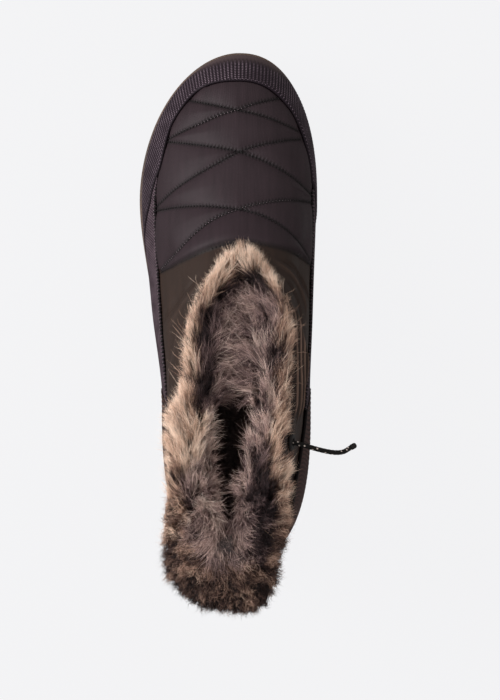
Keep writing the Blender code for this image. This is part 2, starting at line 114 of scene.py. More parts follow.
def hermite(first, last, first_slope, last_slope, share):
    square = share * share
    cube = square * share
    return (
        first * (2 * cube - 3 * square + 1)
        + first_slope * (cube - 2 * square + share)
        + last * (3 * square - 2 * cube)
        + last_slope * (cube - square)
    )


def toe_lift(y):
    share = np.maximum(0.0, (y / SOLE_LENGTH - TOE_SPRING_FROM) / TOE_SPRING_OVER)
    return TOE_SPRING * share * share


def sole_top(y):
    forward = smooth_step(SHANK_FROM, SHANK_TO, y / SOLE_LENGTH)
    return HEEL_STACK + (FOREFOOT_STACK - HEEL_STACK) * forward + toe_lift(y)


def section_y(plan, station):
    """Stations run 0 front, 1 ball, 2 waist, 3 heel, 4 back; medial ones are positive."""
    step = np.abs(station)
    front = plan.shoulder + (plan.front - plan.shoulder) * np.cos(np.minimum(step, 1) * np.pi / 2)
    side = plan.shoulder + (plan.heel - plan.shoulder) * (step - 1) / 2
    back = plan.heel - (plan.heel - plan.back) * np.sin((step - 3) * np.pi / 2)
    return SOLE_LENGTH * np.where(step <= 1, front, np.where(step <= 3, side, back))


def section_x(plan, y, medial):
    share = y / SOLE_LENGTH
    ball = np.where(medial, plan.ball_in, plan.ball_out)
    waist = np.where(medial, plan.waist_in, plan.waist_out)
    heel = np.where(medial, plan.heel_in, plan.heel_out)
    power = np.where(medial, MEDIAL_TOE_POWER, LATERAL_TOE_POWER)
    ahead = np.clip((share - plan.shoulder) / (plan.front - plan.shoulder), 0, 1)
    behind = np.clip((plan.heel - share) / (plan.heel - plan.back), 0, 1)
    toe = plan.front_x + (ball - plan.front_x) * (1 - ahead**power) ** (1 / power)
    end = plan.back_x + (heel - plan.back_x) * (1 - behind**HEEL_POWER) ** (1 / HEEL_POWER)
    along = np.clip(2 * (plan.shoulder - share) / (plan.shoulder - plan.heel), 0, 2)
    slope = (heel - ball) / 2
    forepart = hermite(ball, waist, 0.0, slope, np.minimum(along, 1))
    rearpart = hermite(waist, heel, slope, 0.0, np.maximum(along - 1, 0))
    side = np.where(along <= 1, forepart, rearpart)
    behind_toe = np.where(share <= plan.heel, end, side)
    return HALF_BALL * np.where(share >= plan.shoulder, toe, behind_toe)


def wrapped(station):
    return (station + 4) % 8 - 4


# %% Points on the upper
UPWARD, TOEWARD = np.array([0.0, 0.0, 1.0]), np.array([0.0, 1.0, 0.0])
IN_PLAN = np.array([1.0, 1.0, 0.0])


def section_rise(heights, station):
    step = np.abs(station)
    first = np.minimum(3, np.floor(step).astype(int))
    slopes = np.array([0.0] + [(heights[i + 1] - heights[i - 1]) / 2 for i in (1, 2, 3)] + [0.0])
    heights = np.array(heights)
    ends = (heights[first], heights[first + 1], slopes[first], slopes[first + 1])
    return COLLAR_RISE * hermite(*ends, step - first)


def upper_points(station, level):
    """Outer face of the upper: level 0 is the feather line, COLLAR_LEVEL the collar."""
    station, level = np.broadcast_arrays(np.asarray(station, float), np.asarray(level, float))
    nodes = []
    for plan, heights in UPPER_SECTIONS:
        y = section_y(plan, station)
        x = section_x(plan, y, station >= 0)
        nodes.append(np.stack((x, y, sole_top(y) + GAP + section_rise(heights, station)), -1))
    points = np.zeros(station.shape + (3,))
    first = np.clip(np.floor(level).astype(int), 0, COLLAR_LEVEL - 1)
    for i in range(COLLAR_LEVEL):
        slopes = []
        for j in (i, i + 1):
            low, high = max(0, j - 1), min(COLLAR_LEVEL, j + 1)
            slopes.append((nodes[high] - nodes[low]) / (high - low))
        part = hermite(nodes[i], nodes[i + 1], slopes[0], slopes[1], (level - i)[..., None])
        points = np.where((first == i)[..., None], part, points)
    return points


def unit(vectors):
    return vectors / np.maximum(np.linalg.norm(vectors, axis=-1, keepdims=True), 1e-12)


def upper_frame(station, level):
    """Outward normal and upward direction of the upper's face."""
    station, level = np.broadcast_arrays(np.asarray(station, float), np.asarray(level, float))
    nudge = 0.02
    low, high = np.maximum(0, level - nudge), np.minimum(COLLAR_LEVEL, level + nudge)
    rise = upper_points(station, high) - upper_points(station, low)
    ahead, behind = (upper_points(wrapped(station + way * nudge), level) for way in (1, -1))
    return unit(np.cross(rise, ahead - behind)), unit(rise)


def upper_offset(station, level, out):
    normal = upper_frame(station, level)[0]
    return upper_points(station, level) + normal * np.asarray(out, float)[..., None]


toe_tip = upper_points(0.0, 0.0)
print("toe of the upper in mm:", np.round((toe_tip + DRAWN_TO_FRAME) * 1000, 1))

# %% [markdown]
# ## Camera
#
# The picture looks straight down from about a metre, over the middle of the boot. The place and
# the lens were worked out from the sole's edge, the collar and the cord in the photograph.
# Blender's camera looks down its own -Z axis with +Y up, so no turn is needed.

# %% Camera
CAMERA_OVER = np.array([0.01098, 0.1125, 1.025])
CAMERA_LENS = 93.7

camera = bpy.data.objects.new("camera", bpy.data.cameras.new("camera"))
camera.data.lens = CAMERA_LENS
camera.location = CAMERA_OVER + DRAWN_TO_FRAME
bpy.context.scene.collection.objects.link(camera)
bpy.context.scene.camera = camera
print("camera at", [round(c, 4) for c in camera.location])

# %% [markdown]
# ## Helpers: meshes and nodes
#
# Most pieces of a boot are skins: rows of points that close on themselves round a thin wall. One
# helper turns such a grid into a closed mesh, so inner and outer faces always belong together.
# A second helper adds any node with its settings and links, for materials and geometry alike, and
# short ones on top of it name the nodes that come up again and again.

# %% Helpers for pieces


def add_piece(name, points, faces, slot, materials, edges=()):
    mesh = bpy.data.meshes.new(name)
    mesh.from_pydata((points + DRAWN_TO_FRAME).tolist(), edges, faces)
    mesh.shade_smooth()
    for material in materials:
        mesh.materials.append(material)
    piece = bpy.data.objects.new(name, mesh)
    bpy.context.scene.collection.objects.link(piece)
    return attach(piece, "root")


def skin_faces(rows, columns, wrap):
    """Quads of a grid whose rows close on themselves, with capped ends where columns don't wrap."""
    r, c = np.meshgrid(np.arange(rows), np.arange(columns if wrap else columns - 1), indexing="ij")
    r, c = r.ravel(), c.ravel()
    corner_r = np.stack((r, r + 1, r + 1, r), 1)
    corner_c = np.stack((c, c, c + 1, c + 1), 1)
    faces = ((corner_r % rows) * columns + corner_c % columns).tolist()
    if not wrap:
        ends = np.arange(rows) * columns
        faces += [ends[::-1].tolist(), (ends + columns - 1).tolist()]
    return faces, corner_r, corner_c


def skin(name, grid, slot, materials, wrap=True, uv=None):
    """Closed piece from a grid of points; uv has one row and one column more than the grid."""
    rows, columns = grid.shape[:2]
    faces, corner_r, corner_c = skin_faces(rows, columns, wrap)
    piece = add_piece(name, grid.reshape(-1, 3), faces, slot, materials)
    if uv is not None:
        layer = piece.data.uv_layers.new(name="cloth")
        corners = np.zeros((len(piece.data.loops), 2))
        corners[: corner_r.size] = uv[corner_r, corner_c].reshape(-1, 2)
        layer.data.foreach_set("uv", corners.ravel())
    print(name, len(faces), "faces")
    return piece


def ring_faces(rings, spokes, looped=False):
    """Quads between rings of points, with capped ends unless the last ring joins the first."""
    faces = []
    for i in range(rings if looped else rings - 1):
        low, high = i * spokes, (i + 1) % rings * spokes
        for j in range(spokes):
            after = (j + 1) % spokes
            faces.append((low + j, low + after, high + after, high + j))
    if not looped:
        faces += [tuple(range(spokes))[::-1], tuple(range((rings - 1) * spokes, rings * spokes))]
    return faces


def add_attribute(mesh, name, kind, values):
    part = {"FLOAT": "value", "FLOAT_VECTOR": "vector", "FLOAT_COLOR": "color"}[kind]
    data = mesh.attributes.new(name, kind, "POINT").data
    data.foreach_set(part, np.ravel(values).astype(np.float32))


def travelled_along(points):
    """Distance along a chain of points, at each of them."""
    return np.concatenate(([0.0], np.cumsum(np.linalg.norm(np.diff(points, axis=0), axis=1))))


def nearest_of(points):
    """A tree that finds the nearest of many points."""
    tree = KDTree(len(points))
    for i, place in enumerate(points):
        tree.insert(place, i)
    tree.balance()
    return tree


# %% Helpers for nodes


def linear(hex_colour):
    """sRGB hex as the linear colour that a shader uses."""
    channels = [int(hex_colour[i : i + 2], 16) / 255 for i in (1, 3, 5)]
    curved = [c / 12.92 if c <= 0.04045 else ((c + 0.055) / 1.055) ** 2.4 for c in channels]
    return tuple(curved) + (1.0,)


def add_node(tree, kind, inputs=(), **settings):
    """One node, with its settings, and its inputs as values or as other nodes' outputs."""
    node = tree.nodes.new(kind)
    for key, value in settings.items():
        setattr(node, key, value)
    for socket, value in dict(inputs).items():
        if isinstance(value, bpy.types.NodeSocket):
            tree.links.new(value, node.inputs[socket])
        else:
            node.inputs[socket].default_value = value
    return node


def new_material(name, roughness, **sockets):
    material = bpy.data.materials.new(name)
    material.use_nodes = True
    shader = material.node_tree.nodes["Principled BSDF"]
    shader.inputs["Roughness"].default_value = roughness
    for socket, value in sockets.items():
        shader.inputs[socket.replace("_", " ")].default_value = value
    return material, material.node_tree, shader


def maths(tree, operation, *values):
    return add_node(tree, "ShaderNodeMath", dict(enumerate(values)), operation=operation).outputs[0]


def scaled(tree, vector, factor):
    sockets = {0: vector, "Scale": factor}
    return add_node(tree, "ShaderNodeVectorMath", sockets, operation="SCALE").outputs[0]


def mapped(tree, value, low=0.0, high=1.0, to_low=0.0, to_high=1.0):
    sockets = {"Value": value, "From Min": low, "From Max": high, "To Min": to_low, "To Max": to_high}
    return add_node(tree, "ShaderNodeMapRange", sockets).outputs["Result"]


# %% Helpers for materials


def mixed(tree, share, first, second):
    """Colour between two others, each given as hex or as a node's output."""
    first, second = (linear(c) if isinstance(c, str) else c for c in (first, second))
    return add_node(tree, "ShaderNodeMix", {0: share, 6: first, 7: second}, data_type="RGBA").outputs[2]


def attribute(tree, name, output="Fac"):
    return add_node(tree, "ShaderNodeAttribute", attribute_name=name).outputs[output]


def solid_place(tree):
    return add_node(tree, "ShaderNodeTexCoord").outputs["Object"]


def cloth_place(tree):
    """The piece's own UV map, in metres along and up its face."""
    return add_node(tree, "ShaderNodeUVMap", uv_map="cloth").outputs["UV"]


def noise(tree, size, detail, roughness=0.5):
    sockets = {"Vector": solid_place(tree), "Scale": 1 / size, "Detail": detail, "Roughness": roughness}
    return add_node(tree, "ShaderNodeTexNoise", sockets).outputs["Fac"]


# Blender's wave texture repeats after this much of its own scale
WAVE_PERIOD = 2 * math.pi / 20


def bands(tree, pitch, direction, distortion=0.0, detail=2.0):
    sockets = {"Vector": cloth_place(tree), "Scale": WAVE_PERIOD / pitch}
    sockets |= {"Distortion": distortion, "Detail": detail}
    return add_node(tree, "ShaderNodeTexWave", sockets, bands_direction=direction).outputs["Fac"]


def bumped(tree, height, strength, distance, over=None):
    sockets = {"Height": height, "Strength": strength, "Distance": distance}
    if over is not None:
        sockets["Normal"] = over
    return add_node(tree, "ShaderNodeBump", sockets).outputs["Normal"]


def dress(tree, shader, tone, bump=None):
    tree.links.new(tone, shader.inputs["Base Color"])
    if bump is not None:
        tree.links.new(bump, shader.inputs["Normal"])


# %% Helpers for Geometry Nodes


def new_tree(name, sizes):
    """Geometry Nodes tree with named inputs, given as (label, socket type, value)."""
    tree = bpy.data.node_groups.new(name, "GeometryNodeTree")
    for way in ("INPUT", "OUTPUT"):
        tree.interface.new_socket("Geometry", in_out=way, socket_type="NodeSocketGeometry")
    for label, kind, value in sizes:
        socket = tree.interface.new_socket(label, in_out="INPUT", socket_type=kind)
        if value is not None:
            socket.default_value = value
    return tree, tree.nodes.new("NodeGroupInput").outputs


def field(tree, name, kind):
    return add_node(tree, "GeometryNodeInputNamedAttribute", {"Name": name}, data_type=kind).outputs[0]


def end_tree(tree, geometry, material):
    done = add_node(tree, "GeometryNodeSetMaterial", {"Geometry": geometry, "Material": material})
    add_node(tree, "NodeGroupOutput", {"Geometry": done.outputs["Geometry"]})
    return tree


def end_with_instances(tree, points, instance, rotation, scale, material):
    """Instances on points, made real, smooth and in their material."""
    sockets = {"Points": points, "Instance": instance, "Rotation": rotation, "Scale": scale}
    placed = add_node(tree, "GeometryNodeInstanceOnPoints", sockets)
    real = add_node(tree, "GeometryNodeRealizeInstances", {"Geometry": placed.outputs["Instances"]})
    smooth = add_node(tree, "GeometryNodeSetShadeSmooth", {"Geometry": real.outputs["Geometry"]})
    return end_tree(tree, smooth.outputs["Geometry"], material)


def grow(piece, tree, values):
    """Runs a tree on a piece and keeps the result as a plain mesh."""
    modifier = piece.modifiers.new(tree.name, "NODES")
    modifier.node_group = tree
    for socket in tree.interface.items_tree:
        if socket.in_out == "INPUT" and socket.name in values:
            modifier[socket.identifier] = values[socket.name]
    depsgraph = bpy.context.evaluated_depsgraph_get()
    seed_mesh = piece.data
    piece.data = bpy.data.meshes.new_from_object(
        piece.evaluated_get(depsgraph), preserve_all_data_layers=True, depsgraph=depsgraph
    )
    piece.modifiers.remove(modifier)
    piece.data.name = piece.name
    bpy.data.meshes.remove(seed_mesh)
    piece.data.calc_loop_triangles()
    print(piece.name, len(piece.data.loop_triangles), "triangles")
    return piece


# %% [markdown]
# ## Draw cord
#
# A short elastic cord leaves an eyelet on the medial side of the collar and ends in a sealed tip.
# It stands out by itself, because braided elastic is springy. A curve with a bevel would be quick,
# but the braid is real relief, so the tube is built from rings whose radius follows the strands.

# %% Braided elastic: black polyester sheath, matt, with a pale tracer yarn
CORD_DIAMETER = 0.0024
TRACER_PITCH = 0.0042


def braided_elastic():
    material, tree, shader = new_material("braided_elastic", 0.75, Specular_IOR_Level=0.2)
    # The tracer yarn shows as short flecks, first on one side of the cord and then on the other
    turned = add_node(tree, "ShaderNodeMapping", {"Vector": cloth_place(tree), "Rotation": (0, 0, 0.5)})
    flecks = add_node(
        tree,
        "ShaderNodeTexVoronoi",
        {"Vector": turned.outputs["Vector"], "Scale": 1 / TRACER_PITCH * 1.5, "Randomness": 0.35},
    )
    is_fleck = mapped(tree, flecks.outputs["Distance"], 0.16, 0.24, 1.0, 0.0)
    dress(tree, shader, mixed(tree, is_fleck, "#0d0a09", "#c3b6ae"))
    return material


BRAIDED_ELASTIC = braided_elastic()

# %% Cord, from the eyelet to its tip
EYELET_STATION, EYELET_LEVEL = 2.56, 4.36
CORD_RINGS, CORD_SPOKES = 121, 20
STRANDS, BRAID_TURN, BRAID_CORE, BRAID_RELIEF = 5, 0.0042, 0.93, 0.05
CORD_ROUTE = np.array(
    [
        (0.0000, 0.0000, 0.0000),
        (0.0050, -0.0010, 0.0010),
        (0.0105, -0.0026, 0.0006),
        (0.0165, -0.0043, -0.0014),
        (0.0225, -0.0055, -0.0046),
        (0.0272, -0.0054, -0.0080),
        (0.0310, -0.0036, -0.0112),
    ]
)


def curve_through(knots, count):
    """Points on a smooth curve through knots, evenly spread between them."""
    knots = np.asarray(knots, float)
    last = len(knots) - 1
    before, after = np.maximum(np.arange(last + 1) - 1, 0), np.minimum(np.arange(last + 1) + 1, last)
    slopes = (knots[after] - knots[before]) / (after - before)[:, None]
    along = np.linspace(0, last, count)
    first = np.minimum(last - 1, np.floor(along).astype(int))
    ends = (knots[first], knots[first + 1], slopes[first], slopes[first + 1])
    return hermite(*ends, (along - first)[:, None])


def path_length(points):
    return np.linalg.norm(np.diff(points, axis=0), axis=1).sum()


def tube_grid(line, radii, spokes):
    """Rings of points round a line: radii has a row for each point and a column for each spoke."""
    along = unit(np.gradient(line, axis=0))
    side = unit(np.cross(along, UPWARD))
    top = np.cross(side, along)
    angle = 2 * np.pi * np.arange(spokes) / spokes
    spoke = side[:, None] * np.cos(angle)[:, None] + top[:, None] * np.sin(angle)[:, None]
    return line[:, None] + spoke * radii[..., None]


eyelet_place = upper_offset(EYELET_STATION, EYELET_LEVEL, OVERLAY_GAP)
eyelet_normal = upper_frame(EYELET_STATION, EYELET_LEVEL)[0]
cord_line = curve_through(eyelet_place + CORD_ROUTE, CORD_RINGS)
cord_length = path_length(cord_line)

distance = np.linspace(0, cord_length, CORD_RINGS)[:, None]
angle = 2 * np.pi * np.arange(CORD_SPOKES) / CORD_SPOKES
twist = 2 * np.pi * distance / BRAID_TURN
relief = np.abs(np.sin(STRANDS / 2 * angle + twist)) + np.abs(np.sin(STRANDS / 2 * angle - twist))
cord_radii = CORD_DIAMETER / 2 * (BRAID_CORE + BRAID_RELIEF * relief)
cord_grid = tube_grid(cord_line, cord_radii, CORD_SPOKES)
cord_faces = ring_faces(CORD_RINGS, CORD_SPOKES)
cord = add_piece("braided_cord", cord_grid.reshape(-1, 3), cord_faces, "cord", [BRAIDED_ELASTIC])
cord_uv = cord.data.uv_layers.new(name="cloth")
for loop, slot_uv in zip(cord.data.loops, cord_uv.data):
    row, spoke = divmod(loop.vertex_index, CORD_SPOKES)
    slot_uv.uv = (CORD_DIAMETER * math.pi * spoke / CORD_SPOKES, distance[row, 0])
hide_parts("pull_cord")
print("cord", round(cord_length * 1000, 1), "mm long")

# %% [markdown]
# ## Eyelet and cord tip
#
# Both are small black mouldings: a ring riveted to the collar, and the melted end of the cord.
# Each is a turned profile, so one helper spins a list of radii and heights round an axis.

# %% Moulded nylon: injection moulded, near black, satin with a fine spark-eroded grain


def moulded_nylon():
    material, tree, shader = new_material("moulded_nylon", 0.5, Specular_IOR_Level=0.2)
    grain = noise(tree, 0.0004, 2.0)
    tone = mixed(tree, grain, "#100d0d", "#1d1817")
    dress(tree, shader, tone, bumped(tree, grain, 0.3, 0.0001))
    return material


MOULDED_NYLON = moulded_nylon()

# %% Turned mouldings


def turned_piece(name, profile, place, axis, steps, closed, slot, material):
    """Profile of (radius, height) spun round an axis; an open profile starts and ends on it."""
    axis = unit(np.asarray(axis))
    side = unit(np.cross(axis, UPWARD))
    top = np.cross(axis, side)
    angle = 2 * np.pi * np.arange(steps) / steps
    spokes = np.cos(angle)[:, None] * side + np.sin(angle)[:, None] * top
    points = [place + radius * spokes + height * axis for radius, height in profile]
    faces = ring_faces(len(profile), steps, closed)
    return add_piece(name, np.concatenate(points), faces, slot, [material])


EYELET_RADIUS, EYELET_HOLE, EYELET_HEIGHT = 0.00475, 0.0019, 0.0022
EYELET_ROUND, HOLE_ROUND = 0.0008, 0.0007
EYELET_STEPS, TIP_STEPS = 40, 24
eyelet_profile = []
for turn in np.radians(np.linspace(-90, 90, 9)):
    reach = EYELET_RADIUS - EYELET_ROUND + EYELET_ROUND * math.cos(turn)
    eyelet_profile.append((reach, EYELET_HEIGHT / 2 * (1 + math.sin(turn))))
for turn in np.radians(np.linspace(90, 180, 5)):
    reach = EYELET_HOLE + HOLE_ROUND + HOLE_ROUND * math.cos(turn)
    eyelet_profile.append((reach, EYELET_HEIGHT - HOLE_ROUND + HOLE_ROUND * math.sin(turn)))
eyelet_profile.append((EYELET_HOLE, 0.0))
eyelet = turned_piece(
    "moulded_eyelet",
    eyelet_profile,
    eyelet_place,
    eyelet_normal,
    EYELET_STEPS,
    True,
    "moulding",
    MOULDED_NYLON,
)
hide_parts("cord_eyelet")

TIP_LENGTH, TIP_RADIUS = 0.0035, 0.00145
cord_end = unit(cord_line[-1] - cord_line[-2])
tip_profile = [(0.0009, 0.0), (0.0013, 0.0002), (TIP_RADIUS, 0.0007), (TIP_RADIUS, 0.0016)]
tip_profile += [(0.00136, 0.0018)]
tip_profile += [(TIP_RADIUS, 0.0020), (TIP_RADIUS, 0.0027), (0.0013, 0.0032), (0.0009, TIP_LENGTH)]
tip_start = cord_line[-1] + cord_end * GAP
tip = turned_piece(
    "sealed_cord_tip", tip_profile, tip_start, cord_end, TIP_STEPS, False, "moulding", MOULDED_NYLON
)
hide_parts("cord_tip")
print("eyelet and tip made")

# %% [markdown]
# ## Where the overlays end
#
# Rubber and cloth overlays lie on the upper. Their top edges are levels of the drawing that change
# along the boot, and the quilting has to stop at them, so they come before the upper.

# %% Top edges of rand, side panels and counter
RAND_LEVEL, RAND_TAIL_LEVEL = 2.02, 0.30
RAND_LATERAL_DIP, RAND_LATERAL_RISE = 0.28, 0.24
MEDIAL_TAPER, LATERAL_TAPER = (0.86, 1.36), (0.80, 1.75)
PANEL_FRONT_LEVEL, PANEL_BACK_LEVEL, PANEL_LAP = 1.95, 2.40, 0.045
COUNTER_FRONT = 2.80
COUNTER_CLIMB = np.array(
    [(2.80, 2.30), (2.92, 2.50), (3.00, 2.75), (3.06, 3.10)]
    + [(3.12, 3.50), (3.20, 3.72), (3.45, 3.80), (4.00, 3.70)]
)
RAND_THICKNESS, PANEL_THICKNESS = 0.0015, 0.0009


def rand_top(station):
    start, end = (np.where(station >= 0, m, l) for m, l in zip(MEDIAL_TAPER, LATERAL_TAPER))
    fall = np.clip((np.abs(station) - start) / (end - start), 0.0, 1.0)
    level = RAND_LEVEL - RAND_LATERAL_DIP * smooth_step(0.0, 0.4, -station)
    level += RAND_LATERAL_RISE * smooth_step(0.55, 0.78, -station)
    return level + (RAND_TAIL_LEVEL - level) * fall


def panel_top(station):
    back = smooth_step(0.9, COUNTER_FRONT, np.abs(station))
    return PANEL_FRONT_LEVEL + (PANEL_BACK_LEVEL - PANEL_FRONT_LEVEL) * back


def counter_top(station):
    return np.interp(np.abs(station), COUNTER_CLIMB[:, 0], COUNTER_CLIMB[:, 1])


def overlay_top(station):
    """Top edge of whichever overlay is there."""
    step = np.abs(station)
    taper = np.where(station >= 0, MEDIAL_TAPER[0], LATERAL_TAPER[0])
    rand = rand_top(station)
    side = np.where(step < taper, rand, np.maximum(rand, panel_top(station)))
    return np.where(step > COUNTER_FRONT, counter_top(station), side)


def laid_points(station, level, out):
    """Points of an overlay, kept above the top of the sole."""
    points = upper_offset(station, level, out)
    points[..., 2] = np.maximum(points[..., 2], sole_top(points[..., 1]) + OVERLAY_GAP)
    return points


def ring_stations(toe, ball, waist, heel):
    """Stations once round the boot, with the steps wanted in each quarter of a side."""
    side = [0.0]
    for quarter, steps in enumerate((toe, ball, waist, heel)):
        side += [quarter + (i + 1) / steps for i in range(steps)]
    return np.array(side + [-s for s in reversed(side[1:-1])])


print("rand's top edge at the toe:", round(float(rand_top(np.array(0.0))), 2))

# %% [markdown]
# ## Quilted upper
#
# The vamp is a padded nylon shell, sewn through its wadding along three pairs of crossing curves.
# Between the stitching the wadding swells, and close to it the cloth is pulled down. It gathers there
# in small puckers, finer than this mesh, which the cloth's material adds. Cloth simulation could
# swell it, but the seams have to lie exactly where the photograph shows them, so every point is
# lifted by a rule: its distance from the nearest seam.

# %% Seams and folds, drawn in plan: mm to the medial side and mm from the heel
QUILT_SEAMS = {
    "toe_falling": [(-22, 245.8), (-14.9, 243.7), (-5.2, 241.1), (4.4, 238.7)]
    + [(13, 236.9), (22, 234.3), (36.5, 228.9)],
    "toe_rising": [(-33.5, 224.9), (-22.5, 229.2), (-12.8, 232.9), (-4.8, 236.2)]
    + [(4.4, 239.0), (13.5, 242.4), (28, 246.6)],
    "middle_falling": [(-34.5, 224.2), (-23, 221.6), (-12, 219.5), (-2, 217.6)]
    + [(7.1, 215.3), (19.5, 210.5), (31, 204.3), (44, 195)],
    "middle_rising": [(-40, 187.8), (-30, 195.7), (-19, 202.6), (-8, 208.6)]
    + [(3, 214.7), (13, 218.7), (24.1, 221.5), (37.5, 224.5)],
    "instep_falling": [(-40, 186.8), (-27, 187.1), (-14, 187), (-2, 185.7), (8, 184.2)]
    + [(18, 181.2), (28, 175.7), (36, 168.7), (42, 161.3)],
    "instep_rising": [(-36, 155), (-26.5, 163.5), (-17, 172.6), (-7, 179.9)]
    + [(4, 184.5), (14, 187.5), (28, 190.1), (44, 191.2)],
}
COLLAR_SEAM = [(-36, 153.6), (-25.2, 157.5), (-14, 162), (-3, 165.7), (8.5, 167.3)]
COLLAR_SEAM += [(20, 165.5), (32, 162.7), (39.9, 159.4), (44.5, 156.3)]
# Soft folds of the collar cloth: height in mm (troughs are negative) and width in mm
Fold = namedtuple("Fold", "plan height width")
COLLAR_FOLDS = [
    Fold([(-34.5, 126), (-27.7, 135.7), (-20.4, 143.9), (-12.5, 152)], -1.0, 1.6),
    Fold([(-32.0, 122), (-25.0, 132.5), (-17.5, 141.5), (-9.5, 151)], 0.7, 1.6),
    Fold([(-30.5, 92), (-29.1, 101.3), (-26.1, 117.6), (-21.5, 128.7)], 0.65, 1.8),
    Fold([(22.0, 161), (32.4, 154.5), (37.9, 147.4), (41.1, 139.7), (42.2, 131)], -1.0, 1.2),
    Fold([(20.0, 159.5), (30.0, 152.5), (35.6, 145.4), (38.9, 137), (40, 128)], 0.9, 1.2),
    Fold([(27.0, 150), (32.5, 143), (36.0, 134), (37.4, 122)], -1.2, 1.1),
    Fold([(30.0, 140), (32.4, 128), (33.0, 112), (32.8, 88), (31.6, 74)], 2.0, 1.6),
    Fold([(33.5, 136), (35.0, 124), (35.3, 108), (34.9, 85), (33.8, 72)], 2.0, 1.6),
    Fold([(36.8, 126), (37.2, 112), (37.2, 98), (36.6, 84), (35.6, 74)], 1.9, 1.6),
    Fold([(38.8, 118), (39.2, 104), (39.0, 88)], 1.7, 1.5),
]
# The same for folds behind, which no plan shows: stations and levels
HIDDEN_FOLDS = [
    Fold([(-2.20, 3.60), (-2.80, 3.45), (-3.30, 3.75)], -0.7, 2.6),
    Fold([(2.75, 4.25), (3.20, 4.00), (3.70, 4.10)], -0.6, 2.4),
    Fold([(-2.40, 4.20), (-3.00, 4.05), (-3.60, 4.30)], -0.5, 2.6),
]


def dropped(plan):
    """Stations and levels of the upper's points that lie straight below points of a plan."""
    coarse_station, coarse_level = np.meshgrid(np.linspace(-3.9, 3.9, 196), np.linspace(1.2, 4.95, 76))
    coarse = upper_points(coarse_station, coarse_level).reshape(-1, 3) * IN_PLAN
    nearest = nearest_of(coarse)
    start = [nearest.find((x, y, 0.0))[1] for x, y in plan]
    flat = np.stack((coarse_station.ravel()[start], coarse_level.ravel()[start]), 1)
    nudge = 0.01
    for _ in range(5):
        place = upper_points(flat[:, 0], flat[:, 1])[:, :2]
        by_station = (upper_points(flat[:, 0] + nudge, flat[:, 1])[:, :2] - place) / nudge
        by_level = (place - upper_points(flat[:, 0], flat[:, 1] - nudge)[:, :2]) / nudge
        slopes = np.stack((by_station, by_level), -1) + np.eye(2) * 1e-6
        step = np.linalg.solve(slopes, (plan - place)[..., None])[..., 0]
        flat = flat + np.clip(step, -0.05, 0.05)
    return np.stack((flat[:, 0], np.clip(flat[:, 1], 0.5, COLLAR_LEVEL)), 1)


def seam_points(knots, spacing=0.0004, in_plan=True):
    """Stations, levels and points along a seam, close together."""
    rough = curve_through(knots, 400)
    if in_plan:
        rough = dropped(rough / 1000)
    places = upper_points(rough[:, 0], rough[:, 1])
    travelled = travelled_along(places)
    wanted = np.arange(0, travelled[-1], spacing)
    flat = np.stack([np.interp(wanted, travelled, rough[:, i]) for i in (0, 1)], 1)
    return flat, upper_points(flat[:, 0], flat[:, 1]), wanted


def distance_to(lines, points):
    """Distance of each point from the nearest line, and how far along that line it is."""
    places = np.concatenate([line[1] for line in lines])
    travelled = np.concatenate([line[2] for line in lines])
    nearest = nearest_of(places)
    found = [nearest.find(p)[1:] for p in points]
    index = np.array([f[0] for f in found])
    return np.array([f[1] for f in found]), travelled[index]


quilt_lines = {name: seam_points(knots) for name, knots in QUILT_SEAMS.items()}
collar_line = seam_points(COLLAR_SEAM)
edge_stations = np.linspace(-4, 4, 2400)
edge_places = upper_points(edge_stations, overlay_top(edge_stations))
edge_line = (None, edge_places, np.zeros(len(edge_places)))
print("quilting:", round(sum(line[2][-1] for line in quilt_lines.values()) * 1000), "mm of seam")

# %% Height of the padding at every point of the shell
# Height of the padding, how far from a seam it takes to rise, and the share left by an overlay's edge
PUFF, PUFF_REACH, EDGE_PUFF = 0.0024, 0.0042, 0.5
PUFF_UNEVEN, PUFF_UNEVEN_SIZE = 0.30, 0.035
VAMP_EDGE_REACH = 0.0012
COLLAR_PUFF, COLLAR_PUFF_REACH = 0.0006, 0.005
COLLAR_RIPPLE, COLLAR_RIPPLE_SIZE = 0.00025, 0.018
DEEPEST = 0.0006
# Folds fade in and out over this length. High ones get a painted highlight along the ridge and painted shade
# between the pleats, in mm
FOLD_FADE = 0.012
RIDGE_HIGHLIGHT_FROM, RIDGE_HIGHLIGHT_OVER, PLEAT_SHADE_FROM = 0.6, 1.1, 1.3
FLAT_ROUND_EYELET = (0.004, 0.010)
STITCH_PITCH = 0.0019

stations = ring_stations(84, 36, 34, 38)
hidden_levels = np.linspace(0, 1.85, 11)
shown_levels = np.linspace(1.90, COLLAR_LEVEL, 112)
levels = np.concatenate((hidden_levels, shown_levels))
station_grid, level_grid = np.meshgrid(stations, levels)
shell = upper_points(station_grid, level_grid)
shell_normals = upper_frame(station_grid, level_grid)[0]
flat_shell = shell.reshape(-1, 3)


def soft_noise(points, size, seed):
    """Smooth noise from -1 to 1 with features of about the given size."""
    draw = np.random.default_rng(seed)
    total, waves = np.zeros(points.shape[:-1]), 7
    for _ in range(waves):
        wave = unit(draw.normal(size=3)) * draw.uniform(0.6, 1.4) * 2 * np.pi / size
        total += np.sin(points @ wave + draw.uniform(0, 2 * np.pi))
    return total / waves * 1.6


seam_station, seam_level = collar_line[0].T
collar_level_at = np.interp(station_grid, seam_station, seam_level, left=-1, right=-1)
is_vamp = level_grid < collar_level_at
above_overlay = smooth_step(0.0, 0.05, level_grid - overlay_top(station_grid))

